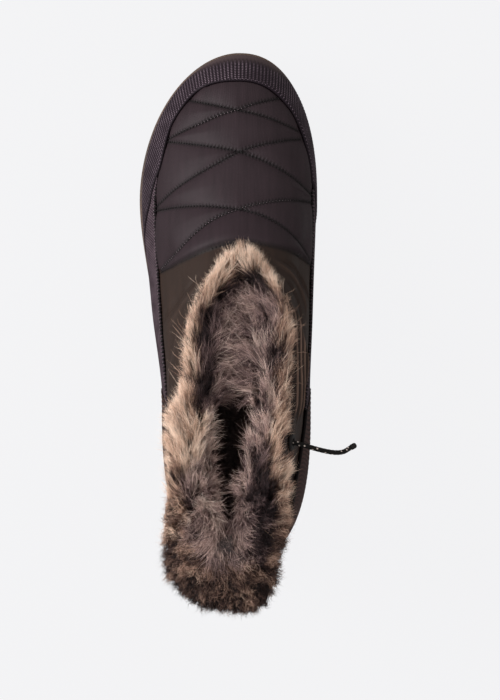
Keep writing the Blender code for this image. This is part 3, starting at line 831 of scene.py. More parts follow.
found = distance_to(quilt_lines.values(), flat_shell) + distance_to([edge_line], flat_shell)
found += distance_to([collar_line], flat_shell)
found = [values.reshape(level_grid.shape) for values in found]
quilt_distance, quilt_travel, edge_distance, _, collar_distance, _ = found
swell = 1 - np.exp(-quilt_distance / PUFF_REACH)
swell *= 1 - (1 - EDGE_PUFF) * np.exp(-edge_distance / PUFF_REACH)
puff = PUFF * swell * (1 + PUFF_UNEVEN * soft_noise(shell, PUFF_UNEVEN_SIZE, 3))
vamp_height = puff * (1 - np.exp(-collar_distance / VAMP_EDGE_REACH))

from_sewn = np.minimum(collar_distance, edge_distance)
collar_height = COLLAR_PUFF * (1 - np.exp(-from_sewn / COLLAR_PUFF_REACH))
collar_height += COLLAR_RIPPLE * soft_noise(shell, COLLAR_RIPPLE_SIZE, 8)
crease, pleat_shade = np.zeros(level_grid.shape), np.zeros(level_grid.shape)
for fold in COLLAR_FOLDS + HIDDEN_FOLDS:
    line = seam_points(fold.plan, 0.0008, fold in COLLAR_FOLDS)
    near, along = (values.reshape(level_grid.shape) for values in distance_to([line], flat_shell))
    near /= fold.width / 1000
    end = line[2][-1]
    fade = smooth_step(0.0, FOLD_FADE, along) * smooth_step(end, end - FOLD_FADE, along)
    collar_height += fade * fold.height / 1000 * np.exp(-near * near)
    # Painted highlight along the ridges of high folds, and the reach of painted shade between high pleats
    crease += fade * max(fold.height - RIDGE_HIGHLIGHT_FROM, 0) / RIDGE_HIGHLIGHT_OVER * np.exp(-2 * near * near)
    if fold.height > PLEAT_SHADE_FROM:
        pleat_shade = np.maximum(pleat_shade, fade * np.exp(-near * near / 3))
from_eyelet = np.linalg.norm(shell - eyelet_place, axis=-1)
collar_height *= smooth_step(*FLAT_ROUND_EYELET, from_eyelet)

height = np.where(is_vamp, vamp_height, np.maximum(collar_height, -DEEPEST)) * above_overlay
print("padding stands out", round(float(height.max()) * 1000, 2), "mm at most")

# %% [markdown]
# Two cloths make the shell: matt nylon on the quilted vamp and a browner, smoother one on the
# collar. Both are plain weaves of about 0.3 mm, far too fine for this picture, so the weave is
# drawn at 0.8 mm. The cloth's own UV map is in metres along and up the wall, so the weave follows
# the surface.

# %% Woven nylon: plain weave, matt, streaked by uneven yarn
WEAVE_DRAWN = 0.0008
PUCKER_REACH, SEAM_SHADE_REACH, SEAM_SHADE = 0.0020, 0.0019, 0.38
VAMP_TONES, COLLAR_TONES = ("#21171b", "#312429"), ("#241914", "#33241d")
# Painted highlight on the ridges of the collar's folds
RIDGE_HIGHLIGHT = "#6f584c"


def woven_nylon():
    material, tree, shader = new_material("woven_nylon", 0.58, Specular_IOR_Level=0.2)
    warp, weft = (bands(tree, WEAVE_DRAWN, direction, 0.6, 1.0) for direction in ("X", "Y"))
    weave = maths(tree, "MULTIPLY", warp, weft)
    streaks = add_node(
        tree, "ShaderNodeMapping", {"Vector": solid_place(tree), "Scale": (420.0, 45.0, 45.0)}
    ).outputs["Vector"]
    slub = add_node(
        tree, "ShaderNodeTexNoise", {"Vector": streaks, "Scale": 1.0, "Detail": 3.0}
    ).outputs["Fac"]
    vamp, collar = (mixed(tree, slub, *tones) for tones in (VAMP_TONES, COLLAR_TONES))
    tone = mixed(tree, attribute(tree, "collar_cloth"), vamp, collar)
    tone = scaled(tree, tone, mapped(tree, weave, to_low=0.82, to_high=1.12))
    # Painted highlight along the ridges of the folds, and painted shade between them
    crease = attribute(tree, "crease")
    tone = scaled(tree, tone, mapped(tree, crease, -1.0, 0.0, 0.5))
    tone = mixed(tree, crease, tone, RIDGE_HIGHLIGHT)
    # By the quilting the cloth lies in shade and gathers in puckers, one for each stitch
    off_seam = attribute(tree, "seam_distance")
    turns = maths(tree, "MULTIPLY", attribute(tree, "seam_travel"), 2 * math.pi / STITCH_PITCH)
    by_seam = mapped(tree, off_seam, 0.0, PUCKER_REACH, 1.0, 0.0)
    pucker = maths(tree, "MULTIPLY", maths(tree, "SINE", turns), by_seam)
    tone = scaled(tree, tone, mapped(tree, off_seam, 0.0, SEAM_SHADE_REACH, SEAM_SHADE))
    weave_bump = bumped(tree, weave, 0.35, 0.0002)
    dress(tree, shader, tone, bumped(tree, pucker, 0.55, 0.0004, weave_bump))
    return material


WOVEN_NYLON = woven_nylon()

# %% Brushed knits: grey pile lining inside the boot, and the dark backing that the fur grows from


def brushed_knit(name, dark, light, sheen):
    material, tree, shader = new_material(name, 0.95, Sheen_Weight=sheen, Sheen_Roughness=0.4)
    tufts = noise(tree, 0.0022, 4.0)
    dress(tree, shader, mixed(tree, tufts, dark, light), bumped(tree, tufts, 0.9, 0.0015))
    return material


PILE_LINING = brushed_knit("pile_lining", "#2a201f", "#7a6863", 0.3)
KNIT_BACKING = brushed_knit("knit_backing", "#140e0e", "#352a29", 0.0)

# %% Shell of the upper
outer = shell + shell_normals * height[..., None]
top_turn = [
    upper_offset(stations, COLLAR_LEVEL, np.full(len(stations), -WALL * share)) for share in (0.3, 0.7)
]
inner_levels = np.linspace(COLLAR_LEVEL, 0, 26)
inner_station_grid, inner_level_grid = np.meshgrid(stations, inner_levels)
inner = upper_offset(inner_station_grid, inner_level_grid, np.full(inner_level_grid.shape, -WALL))
upper_grid = np.concatenate((outer, np.array(top_turn), inner))

middle_row = shell[len(levels) // 2 - 1]
cloth_u = travelled_along(np.vstack((middle_row, middle_row[:1])))
cloth_v = travelled_along(upper_grid[:, 0])
cloth_v = np.append(cloth_v, cloth_v[-1])
cloth_uv = np.stack(np.broadcast_arrays(cloth_u[None, :], cloth_v[:, None]), -1)
upper = skin("quilted_upper", upper_grid, "upper", [WOVEN_NYLON, PILE_LINING], uv=cloth_uv)
collar_mask = smooth_step(-0.02, 0.02, level_grid - collar_level_at)
# Painted highlight on the fold ridges, and painted shade between high pleats away from the ridges
ridges = np.clip(crease, 0, 1)
by_quilting = is_vamp & (quilt_distance < collar_distance)
outer_values = {
    "collar_cloth": (collar_mask, 0.0),
    "crease": ((ridges - pleat_shade * (1 - ridges)) * collar_mask, 0.0),
    "seam_distance": (np.where(by_quilting, quilt_distance, collar_distance), 1.0),
    "seam_travel": (np.where(by_quilting, quilt_travel, 0.0), 1.0),
}
for name, (values, elsewhere) in outer_values.items():
    filled = np.full(upper_grid.shape[:2], elsewhere)
    filled[: len(levels)] = values
    add_attribute(upper.data, name, "FLOAT", filled)
lining_start = (len(levels) + 1) * len(stations)
is_lining = np.zeros(len(upper.data.polygons), np.int32)
is_lining[lining_start:] = 1
upper.data.polygons.foreach_set("material_index", is_lining)
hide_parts("upper")

# %% [markdown]
# ## Stitching
#
# The quilting is sewn in dark thread, about 2 mm a stitch, and pale specks between the stitches are
# painted highlights on the thread. Hundreds of equal stitches along a path are a job for Geometry
# Nodes: the seam is a chain of edges, resampled at the stitch length, with one small capsule on each
# point, turned along the seam.

# %% Sewing thread: twisted polyester, slightly shiny


def sewing_thread(name, colour):
    material, tree, shader = new_material(name, 0.6, Specular_IOR_Level=0.2)
    twist = mapped(tree, noise(tree, 0.0005, 1.0), to_low=0.7, to_high=1.3)
    dress(tree, shader, scaled(tree, linear(colour)[:3], twist))
    return material


DARK_THREAD = sewing_thread("dark_thread", "#0c0809")
PALE_THREAD_AND_HIGHLIGHT = sewing_thread("pale_thread", "#84757a")
DULL_THREAD = sewing_thread("dull_thread", "#5b4d57")

# %% Tree that sews a chain of edges


def stitch_tree():
    sizes = [("Pitch", "NodeSocketFloat", 0.003), ("Length", "NodeSocketFloat", 0.0017)]
    sizes += [("Thickness", "NodeSocketFloat", 0.0006), ("Thread", "NodeSocketMaterial", None)]
    tree, given = new_tree("stitches_along_a_seam", sizes)
    seam = add_node(tree, "GeometryNodeMeshToCurve", {"Mesh": given["Geometry"]}).outputs["Curve"]
    spaced = add_node(
        tree, "GeometryNodeResampleCurve", {"Curve": seam, "Length": given["Pitch"]}, mode="LENGTH"
    ).outputs["Curve"]
    tangent = add_node(tree, "GeometryNodeInputTangent").outputs["Tangent"]
    turn = add_node(tree, "FunctionNodeAlignRotationToVector", {"Vector": tangent}, axis="Z")
    capsule = add_node(tree, "GeometryNodeMeshUVSphere", {"Segments": 6, "Rings": 5, "Radius": 0.5})
    across = given["Thickness"]
    size = add_node(tree, "ShaderNodeCombineXYZ", {"X": across, "Y": across, "Z": given["Length"]})
    outputs = (capsule.outputs["Mesh"], turn.outputs["Rotation"], size.outputs["Vector"])
    return end_with_instances(tree, spaced, *outputs, given["Thread"])


STITCHES = stitch_tree()


def sew(name, chains, slot, thread, pitch, length, thickness):
    """One piece of stitches along chains of points."""
    points = np.concatenate(chains)
    edges, start = [], 0
    for chain in chains:
        edges += [(start + i, start + i + 1) for i in range(len(chain) - 1)]
        start += len(chain)
    piece = add_piece(name, points, [], slot, [thread], edges)
    sizes = {"Pitch": pitch, "Length": length, "Thickness": thickness, "Thread": thread}
    return grow(piece, STITCHES, sizes)


# %% Sew the quilting and the collar seam
STITCH_LENGTH, THREAD_WIDTH = 0.0011, 0.0010
QUILT_LIFT, SPECK_LIFT, SPECK_SIZE = 0.00022, 0.00030, 0.0004
COLLAR_STITCH = {"pitch": 0.0021, "length": 0.0015, "thickness": 0.0009}
COLLAR_STITCH_LIFT = 0.0001
# A seam shows from this far above an overlay's edge, in levels
SHOWN_ABOVE = 0.03


def lifted_seam(line, lift, skip=0.0):
    """Points just above a seam, starting a little way along it, where no overlay covers it."""
    flat = line[0][line[2] >= skip]
    shown = flat[:, 1] > overlay_top(flat[:, 0]) + SHOWN_ABOVE
    flat = flat[shown][::2]
    return upper_offset(flat[:, 0], flat[:, 1], np.full(len(flat), lift))


quilt_chains = [lifted_seam(line, QUILT_LIFT) for line in quilt_lines.values()]
sew("quilt_stitches", quilt_chains, "upper", DARK_THREAD, STITCH_PITCH, STITCH_LENGTH, THREAD_WIDTH)
# Pale specks between the stitches: painted highlights on the thread
speck_chains = [lifted_seam(line, SPECK_LIFT, STITCH_PITCH / 2) for line in quilt_lines.values()]
sew("quilt_thread_specks", speck_chains, "upper", PALE_THREAD_AND_HIGHLIGHT, STITCH_PITCH, SPECK_SIZE, SPECK_SIZE)
collar_chain = lifted_seam(collar_line, COLLAR_STITCH_LIFT)
sew("collar_seam_stitches", [collar_chain], "upper", DARK_THREAD, **COLLAR_STITCH)

# %% [markdown]
# ## Ribbed rubber rand and counter
#
# Round the toe and the heel runs moulded rubber with fine ribs, upright on the rand and leaning on
# the counter, and still finer ridges across them. The ribs are real relief. The plain strip is a skin
# whose attributes say how far along the rib pattern a point is, how strongly it is ribbed and which
# way is out. A small Geometry Nodes tree lifts the ribs from those, and stores the crests for the
# material.

# %% Ribbed rubber: compression moulded, dull, with painted highlight on the crests, brightest where ridges cross them, and a painted reflection of the table on the smooth foot
# The real ridges are about 1 mm apart, too fine for this picture, so they are drawn coarser
CROSS_RIDGE_PITCH = 0.0014


def ribbed_rubber(name, groove, foot_reflection, crest_highlight, dot_highlight):
    material, tree, shader = new_material(name, 0.6, Specular_IOR_Level=0.12)
    crest, foot = attribute(tree, "rib_crest"), attribute(tree, "smooth_foot")
    crossed = maths(tree, "MULTIPLY", crest, bands(tree, CROSS_RIDGE_PITCH, "Y"))
    dots = mapped(tree, crossed, 0.35, 0.80)
    # Patches where painted highlight dots show, where the cross ridges meet the crests
    highlight_patches = mapped(tree, noise(tree, 0.012, 4.0), 0.35, 0.65, 0.35)
    # Painted reflection of the bright table on the smooth foot, then painted highlight on the crests
    tone = mixed(tree, foot, groove, foot_reflection)
    tone = mixed(tree, crest, tone, crest_highlight)
    tone = mixed(tree, maths(tree, "MULTIPLY", dots, highlight_patches), tone, dot_highlight)
    dress(tree, shader, tone, bumped(tree, crossed, 0.8, 0.0003))
    return material


RAND_RUBBER = ribbed_rubber("rand_rubber", "#1b1319", "#473a3b", "#241a21", "#7e6e78")
COUNTER_RUBBER = ribbed_rubber("counter_rubber", "#0a0404", "#1d1412", "#4a3431", "#503a36")

# %% Tree that lifts ribs


def rib_tree():
    sizes = [("Rib pitch", "NodeSocketFloat", 0.00195), ("Rib height", "NodeSocketFloat", 0.00045)]
    sizes += [("Rubber", "NodeSocketMaterial", None)]
    tree, given = new_tree("moulded_ribs", sizes)
    turns = maths(tree, "DIVIDE", field(tree, "rib_along", "FLOAT"), given["Rib pitch"])
    wave = maths(tree, "COSINE", maths(tree, "MULTIPLY", turns, 2 * math.pi))
    ribbed = maths(tree, "MULTIPLY", mapped(tree, wave, low=-1.0), field(tree, "rib_share", "FLOAT"))
    lift = maths(tree, "MULTIPLY", ribbed, given["Rib height"])
    offset = scaled(tree, field(tree, "outward", "FLOAT_VECTOR"), lift)
    lifted = add_node(tree, "GeometryNodeSetPosition", {"Geometry": given["Geometry"], "Offset": offset})
    noted = add_node(
        tree,
        "GeometryNodeStoreNamedAttribute",
        {"Geometry": lifted.outputs["Geometry"], "Name": "rib_crest", "Value": ribbed},
        data_type="FLOAT",
        domain="POINT",
    )
    return end_tree(tree, noted.outputs["Geometry"], given["Rubber"])


RIBS = rib_tree()

# %% Strips laid on the upper


def spread_stations(start, end, level, spacing):
    """Stations an equal distance apart along a level of the upper."""
    fine = np.linspace(start, end, 3000)
    places = upper_points(wrapped(fine), level)
    travelled = travelled_along(places)
    count = int(travelled[-1] / spacing) + 1
    wanted = np.linspace(0, travelled[-1], count)
    return np.interp(wanted, travelled, fine), wanted


# A strip's own profile: shares of its width and of its thickness, from its foot to its top edge
FOOT_TURN = [(0.0, 0.50), (0.0, 0.85), (0.012, 1.0)]
FACE_FROM, FACE_TO = 0.025, 0.975
LIP_TURN, TOP_TURN = [(0.984, 1.0), (0.992, 1.0), (0.998, 0.85)], (1.0, 0.5)
BACK_SHARES, BACK_GAP = (1.0, 0.66, 0.33, 0.0), OVERLAY_GAP * 0.7


def strip_rows(low, high, rows, thickness, lip):
    """Levels and offsets of a strip's skin: foot, outer face, rounded top edge, then its back."""
    face = [(share, OVERLAY_GAP + thickness) for share in np.linspace(FACE_FROM, FACE_TO, rows)]
    foot = [(share, OVERLAY_GAP + thickness * part) for share, part in FOOT_TURN]
    top = [(share, OVERLAY_GAP + thickness * part + lip) for share, part in LIP_TURN]
    top.append((TOP_TURN[0], OVERLAY_GAP + thickness * TOP_TURN[1]))
    back = [(share, BACK_GAP) for share in BACK_SHARES]
    profile = np.array(foot + face + top + back)
    level_rows = low[None] + (high - low)[None] * profile[:, :1]
    out_rows = np.broadcast_to(profile[:, 1:], level_rows.shape)
    return level_rows, out_rows, len(foot), len(foot) + rows


def strip(name, at, low, high, rows, thickness, lip, slot, material):
    """A strip along stations, between two levels, with the cloth map in metres."""
    level_rows, out_rows, first, last = strip_rows(low, high, rows, thickness, lip)
    station_rows = np.broadcast_to(wrapped(at)[None], level_rows.shape)
    points = laid_points(station_rows, level_rows, out_rows)
    travel = travelled_along(points[last // 2])
    climb = np.linalg.norm(np.diff(points, axis=0), axis=2)
    height_rows = np.concatenate((np.zeros((1, len(at))), np.cumsum(climb, axis=0)))
    uv = np.zeros((len(points) + 1, len(at) + 1, 2))
    uv[:-1, :-1, 0] = travel
    uv[:-1, :-1, 1] = height_rows
    uv[-1], uv[:, -1] = uv[-2], uv[:, -2]
    piece = skin(name, points, slot, [material], wrap=False, uv=uv)
    return piece, points, station_rows, level_rows, first, last


def raise_ribs(piece, stations, levels, along, share, pitch, height, rubber):
    add_attribute(piece.data, "rib_along", "FLOAT", along)
    add_attribute(piece.data, "rib_share", "FLOAT", share)
    add_attribute(piece.data, "outward", "FLOAT_VECTOR", upper_frame(stations, levels)[0])
    return grow(piece, RIBS, {"Rib pitch": pitch, "Rib height": height, "Rubber": rubber})


# %% Toe rand
RIB_PITCH, RIB_HEIGHT = 0.00195, 0.00028
RIB_SWEEP = 0.010
STRIP_ROWS = 44
# The foot of the strip is smooth up to these shares of its height, at the sides and round the toe
SMOOTH_SIDE, SMOOTH_TOE, SMOOTH_BLUR = 0.16, 0.36, 0.22
DOT_SIZE, DOT_LIFT, DOT_LEVEL = 0.0006, 0.0001, 0.985
# The ribs stand on a thinner strip, so that their crests end where the solid does
RAND_SHOWN = RAND_THICKNESS - RIB_HEIGHT

rand_at, rand_travel = spread_stations(-LATERAL_TAPER[1], MEDIAL_TAPER[1], 1.2, RIB_PITCH / 4)
rand_low = np.zeros(len(rand_at))
toe_rand, rand_points, rand_station, rand_level, first, last = strip(
    "ribbed_toe_rand", rand_at, rand_low, rand_top(rand_at), STRIP_ROWS, RAND_SHOWN, 0.0, "rand", RAND_RUBBER
)
toe_travel = np.interp(0.0, rand_at, rand_travel)
height_share = rand_level / np.maximum(rand_top(rand_station), 0.5)
sweep = RIB_SWEEP * smooth_step(0.1, 0.9, np.abs(rand_station)) * np.sign(rand_station)
rib_along = rand_travel[None] - toe_travel + sweep * (1 - height_share)
rib_share = np.zeros(rand_points.shape[:2])
at_toe = smooth_step(0.6, 0.2, np.abs(rand_station))
smooth_to = (SMOOTH_SIDE + SMOOTH_TOE * at_toe)[first:last]
shown_share = height_share[first:last]
smooth_foot = np.zeros(rand_points.shape[:2])
smooth_foot[first:last] = smooth_step(smooth_to + SMOOTH_BLUR, smooth_to, shown_share)
rib_share[first:last] = (1 - smooth_foot[first:last]) * smooth_step(1.0, 0.975, shown_share)
add_attribute(toe_rand.data, "smooth_foot", "FLOAT", smooth_foot)
raise_ribs(toe_rand, rand_station, rand_level, rib_along, rib_share, RIB_PITCH, RIB_HEIGHT, RAND_RUBBER)
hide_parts("toe_rand")
dotted = rand_at[(rand_at > -LATERAL_TAPER[0]) & (rand_at < MEDIAL_TAPER[0])]
dot_out = np.full(len(dotted), OVERLAY_GAP + RAND_SHOWN + DOT_LIFT)
edge_dots = laid_points(dotted, rand_top(dotted) * DOT_LEVEL, dot_out)
sew("rand_edge_dots", [edge_dots], "rand", DULL_THREAD, RIB_PITCH, DOT_SIZE, DOT_SIZE)

# %% Heel counter
# The real ribs are about 1.8 mm apart, too fine for a picture from above, so they are drawn coarser
COUNTER_RIB_PITCH, COUNTER_RIB_HEIGHT = 0.0026, 0.00035
# Ribs lean forward going up, and turn upright within this distance of the heel's middle
COUNTER_RIB_LEAN, UPRIGHT_WITHIN = -0.46, 0.02
COUNTER_LIP = 0.00020

counter_at, counter_travel = spread_stations(
    COUNTER_FRONT, 8 - COUNTER_FRONT, 1.6, COUNTER_RIB_PITCH / 6
)
counter, counter_points, counter_station, counter_level, first, last = strip(
    "ribbed_heel_counter",
    counter_at,
    np.zeros(len(counter_at)),
    counter_top(wrapped(counter_at)),
    STRIP_ROWS,
    RAND_THICKNESS - COUNTER_RIB_HEIGHT,
    COUNTER_LIP,
    "rand",
    COUNTER_RUBBER,
)
from_back = counter_travel[None] - np.interp(4.0, counter_at, counter_travel)
lean = COUNTER_RIB_LEAN * (counter_points[..., 2] - HEEL_STACK) * np.tanh(from_back / UPRIGHT_WITHIN)
shown_share = (counter_level / counter_top(counter_station))[first:last]
rib_share = np.zeros(counter_points.shape[:2])
rib_share[first:last] = smooth_step(0.02, 0.10, shown_share) * smooth_step(1.0, 0.94, shown_share)
counter_ribs = (COUNTER_RIB_PITCH, COUNTER_RIB_HEIGHT, COUNTER_RUBBER)
raise_ribs(counter, counter_station, counter_level, from_back + lean, rib_share, *counter_ribs)
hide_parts("heel_counter")

# %% [markdown]
# ## Felted side panels
#
# Between rand and counter lies a strip of grey felted cloth. It has no relief of its own beyond its
# nap, so a plain skin is enough, and the material carries the cords and mottled fibres. Dark stitches
# close its top edge, with a pale speck of thread at each.

# %% Felted wool cloth: fine cords across the strip, short matted fibres, grey mix, no gloss
CORD_PITCH = 0.0014


def felted_cloth():
    material, tree, shader = new_material("felted_cloth", 0.96, Specular_IOR_Level=0.1)
    fibres, blotches = noise(tree, 0.0009, 5.0, roughness=0.7), noise(tree, 0.006, 3.0)
    mottled = maths(tree, "MULTIPLY", fibres, blotches)
    corded = maths(tree, "MULTIPLY_ADD", bands(tree, CORD_PITCH, "X", 1.5), 0.34, mottled)
    tone = mixed(tree, mapped(tree, corded, 0.20, 0.70), "#1a1317", "#5a4c53")
    dress(tree, shader, tone, bumped(tree, fibres, 0.8, 0.0006))
    return material


FELTED_CLOTH = felted_cloth()

# %% Both side panels, and the stitches along their top edges
PANEL_ROWS, PANEL_SPACING = 22, 0.0016
PANEL_STITCH = {"pitch": 0.0020, "length": 0.0013, "thickness": 0.0020}
PANEL_SPECK = {"pitch": 0.0020, "length": 0.0005, "thickness": 0.0005}
# How far below the panel's edge a row of thread lies, in levels, and how far above its face
STITCH_INSET, STITCH_SINK, SPECK_INSET = 0.010, -0.0006, 0.050

panel_chains, speck_chains = [], []
for name, sign, taper in (("medial", 1, MEDIAL_TAPER), ("lateral", -1, LATERAL_TAPER)):
    along, _ = spread_stations(taper[0] + 0.05, COUNTER_FRONT - 0.015, 1.2, PANEL_SPACING)
    at = along if sign > 0 else -along[::-1]
    top = panel_top(at)
    low = np.where(np.abs(at) > taper[1], 0.0, np.minimum(rand_top(at) + PANEL_LAP, top - 0.03))
    panel = strip(
        f"felt_panel_{name}", at, low, top, PANEL_ROWS, PANEL_THICKNESS, 0.0, "panel", FELTED_CLOTH
    )[0]
    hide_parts(f"side_panel_{name}")
    sewn = top > low + 0.10
    for chains, inset, lift in (
        (panel_chains, STITCH_INSET, STITCH_SINK),
        (speck_chains, SPECK_INSET, 0.0),
    ):
        height_on_panel = np.full(sewn.sum(), OVERLAY_GAP + PANEL_THICKNESS + lift)
        chains.append(laid_points(at[sewn], top[sewn] - inset, height_on_panel))
sew("panel_stitches", panel_chains, "panel", DARK_THREAD, **PANEL_STITCH)
sew("panel_thread_specks", speck_chains, "panel", PALE_THREAD_AND_HIGHLIGHT, **PANEL_SPECK)

# %% [markdown]
# ## Sole
#
# The midsole is moulded foam with a ledge round it, and the outsole a rubber plate with lugs. Both
# follow the sole's edge in the drawing, so a stack of outlines makes each of them. The lugs are
# closed blocks with rounded corners, sunk into the plate.

# %% Moulded foam and sole rubber: dark, matt, with a fine moulded grain


def moulded_sole(name, dark, light, roughness, grain_size):
    material, tree, shader = new_material(name, roughness)
    grain = noise(tree, grain_size, 3.0)
    scuffed = maths(tree, "MULTIPLY", grain, noise(tree, 0.02, 5.0))
    tone = mixed(tree, mapped(tree, scuffed, 0.12, 0.45), dark, light)
    dress(tree, shader, tone, bumped(tree, grain, 0.4, 0.0003))
    return material


MOULDED_FOAM = moulded_sole("moulded_foam", "#33261f", "#60493c", 0.72, 0.0007)
SOLE_RUBBER = moulded_sole("sole_rubber", "#1b1616", "#332b2a", 0.6, 0.0009)

# %% Rings of the sole
LUG_DEPTH, PLATE_THICKNESS = 0.004, 0.0035
ARCH_RISE, ARCH_FROM, ARCH_OVER = 0.006, 0.30, 0.26
sole_stations = ring_stations(48, 24, 24, 30)


def tread_base(y):
    share = y / SOLE_LENGTH
    inside = np.clip((share - ARCH_FROM) / ARCH_OVER, 0, 1)
    return LUG_DEPTH + ARCH_RISE * np.sin(np.pi * inside) ** 2 + toe_lift(y)


def outline(plan, station, inset):
    def at(s):
        y = section_y(plan, s)
        return np.stack((section_x(plan, y, s >= 0), y), -1)

    along = unit(at(wrapped(station + 0.01)) - at(wrapped(station - 0.01)))
    return at(station) + np.stack((along[:, 1], -along[:, 0]), -1) * inset


def sole_ring(plan, inset, height_at):
    flat = outline(plan, sole_stations, inset)
    return np.column_stack((flat, height_at(flat[:, 1])))


def stack(rings):
    """Points and faces of a solid through a stack of rings, closed below and above."""
    count = len(sole_stations)
    faces = []
    for i in range(len(rings) - 1):
        for j in range(count):
            low, high, after = i * count, (i + 1) * count, (j + 1) % count
            faces.append((low + after, low + j, high + j, high + after))
    for start, turned in ((0, False), ((len(rings) - 1) * count, True)):
        half = count // 2
        cap = [(0, 1, count - 1)]
        cap += [(i, i + 1, count - i - 1, count - i) for i in range(1, half - 1)]
        cap += [(half - 1, half, half + 1)]
        faces += [tuple(start + i for i in (face[::-1] if turned else face)) for face in cap]
    return np.concatenate(rings), faces


# %% Midsole
# Shares of the midsole's height, and how far its wall stands back from the sole's edge there
MIDSOLE_LEDGES = [(0.00, 0.0018), (0.05, 0.0009), (0.14, 0.0004), (0.44, 0.0002), (0.49, 0.0005)]
MIDSOLE_LEDGES += [(0.54, 0.0014), (0.62, 0.0014), (0.67, 0.0005), (0.72, 0.0002), (0.93, 0.0001)]
MIDSOLE_LEDGES += [(0.98, 0.0002), (1.00, 0.0005)]
MIDSOLE_FOOT_INSET, MIDSOLE_TOP_INSET = 0.0050, 0.0030


def midsole_height(share):
    def height_at(y):
        low = tread_base(y) + PLATE_THICKNESS + GAP
        return low + (sole_top(y) - low) * share

    return height_at


midsole_steps = [(0.0, MIDSOLE_FOOT_INSET)] + MIDSOLE_LEDGES + [(1.0, MIDSOLE_TOP_INSET)]
midsole_rings = [sole_ring(SOLE_EDGE, inset, midsole_height(share)) for share, inset in midsole_steps]
midsole = add_piece("foam_midsole", *stack(midsole_rings), "midsole", [MOULDED_FOAM])
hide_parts("midsole")
print("midsole", len(midsole.data.polygons), "faces")

# %% Outsole with its lugs
# Rows of lugs at the heel and in the forepart: places and depths along the sole, as shares of it
TREAD_ROWS = [(0.035 + 0.058 * i, 0.036) for i in range(5)]
TREAD_ROWS += [(0.575 + 0.056 * i, 0.034) for i in range(7)]
LUG_SPACE, LUG_SWEEP, LUG_EDGE_INSET, LUG_SINK, LUG_ROUND = 0.0045, 0.004, 0.0008, 0.0015, 0.0018
# A corner moves in along its diagonal, and the middle of its arc lies this share into it
DIAGONAL, ARC_MIDDLE = 1.4, 0.29
# From a lug's root to its face: how far its outline shrinks, and how far it stands out of the plate
LUG_LAYERS = [(0.0, -LUG_SINK), (0.0, LUG_DEPTH - 0.0007), (0.0005, LUG_DEPTH), (0.0030, LUG_DEPTH)]
# Insets of the plate's edge at shares of its thickness, with the rings that close it below and above
PLATE_STEPS = [(0.0, 0.0060), (0.0, 0.0012), (0.15, 0.0004), (0.4, 0.0), (0.85, 0.0), (1.0, 0.0004)]
PLATE_STEPS += [(1.0, 0.0040)]


def lug_corners():
    """Plan corners of every lug, three in a row, swept back at the sole's edges in the forepart."""
    for centre, depth in TREAD_ROWS:
        ys = np.array([centre - depth / 2, centre + depth / 2]) * SOLE_LENGTH
        outs = section_x(SOLE_EDGE, ys, np.array(False)) + LUG_EDGE_INSET
        inners = section_x(SOLE_EDGE, ys, np.array(True)) - LUG_EDGE_INSET
        widths = (inners - outs - 2 * LUG_SPACE) / 3
        for lug in range(3):
            left = outs + lug * (widths + LUG_SPACE)
            right = left + widths
            swept = [ys - LUG_SWEEP * (edge and centre > 0.5) for edge in (lug == 0, lug == 2)]
            near, far = ((left[i], swept[0][i], right[i], swept[1][i]) for i in (0, 1))
            yield np.array([near[:2], near[2:], far[2:], far[:2]])


def rounded(corners, radius):
    """Polygon with each corner cut to an arc of three points."""
    found = []
    for i, corner in enumerate(corners):
        ahead = unit(corners[(i + 1) % 4] - corner) * radius
        behind = unit(corners[i - 1] - corner) * radius
        found += [corner + behind, corner + (ahead + behind) * ARC_MIDDLE, corner + ahead]
    return np.array(found)


def plate_height(share):
    return lambda y: tread_base(y) + PLATE_THICKNESS * share


plate_rings = [sole_ring(SOLE_EDGE, inset, plate_height(share)) for share, inset in PLATE_STEPS]
sole_points, sole_faces = stack(plate_rings)
sole_points = [sole_points]
total = len(sole_points[0])
for corners in lug_corners():
    inward = unit(corners.mean(0) - corners)
    layers = []
    for shrink, drop in LUG_LAYERS:
        ring = rounded(corners + inward * shrink * DIAGONAL, LUG_ROUND)
        layers.append(np.column_stack((ring, tread_base(ring[:, 1]) - drop)))
    count = len(layers[0])
    for i in range(len(layers) - 1):
        for j in range(count):
            low, high, after = total + i * count, total + (i + 1) * count, (j + 1) % count
            sole_faces.append((low + j, high + j, high + after, low + after))
    sole_faces.append(tuple(total + j for j in range(count)))
    sole_faces.append(tuple(total + (len(layers) - 1) * count + j for j in range(count))[::-1])
    sole_points += layers
    total += count * len(layers)
outsole = add_piece("lugged_outsole", np.concatenate(sole_points), sole_faces, "outsole", [SOLE_RUBBER])
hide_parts("outsole")
# The insole's solid is shown as it is, in the lining's cloth
insole_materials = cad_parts["insole"].data.materials
insole_materials.clear()
insole_materials.append(PILE_LINING)
print("outsole", len(outsole.data.polygons), "faces")

# %% [markdown]
# ## Fur collar: the roll under the pile
#
# The collar is faux fur, folded over the edge of the shell and running down inside. A hair needs
# something to grow from, so the knitted backing comes first: a closed roll, thicker at the front and
# the back, where the two sides of the fur meet and only leave a slit between them.

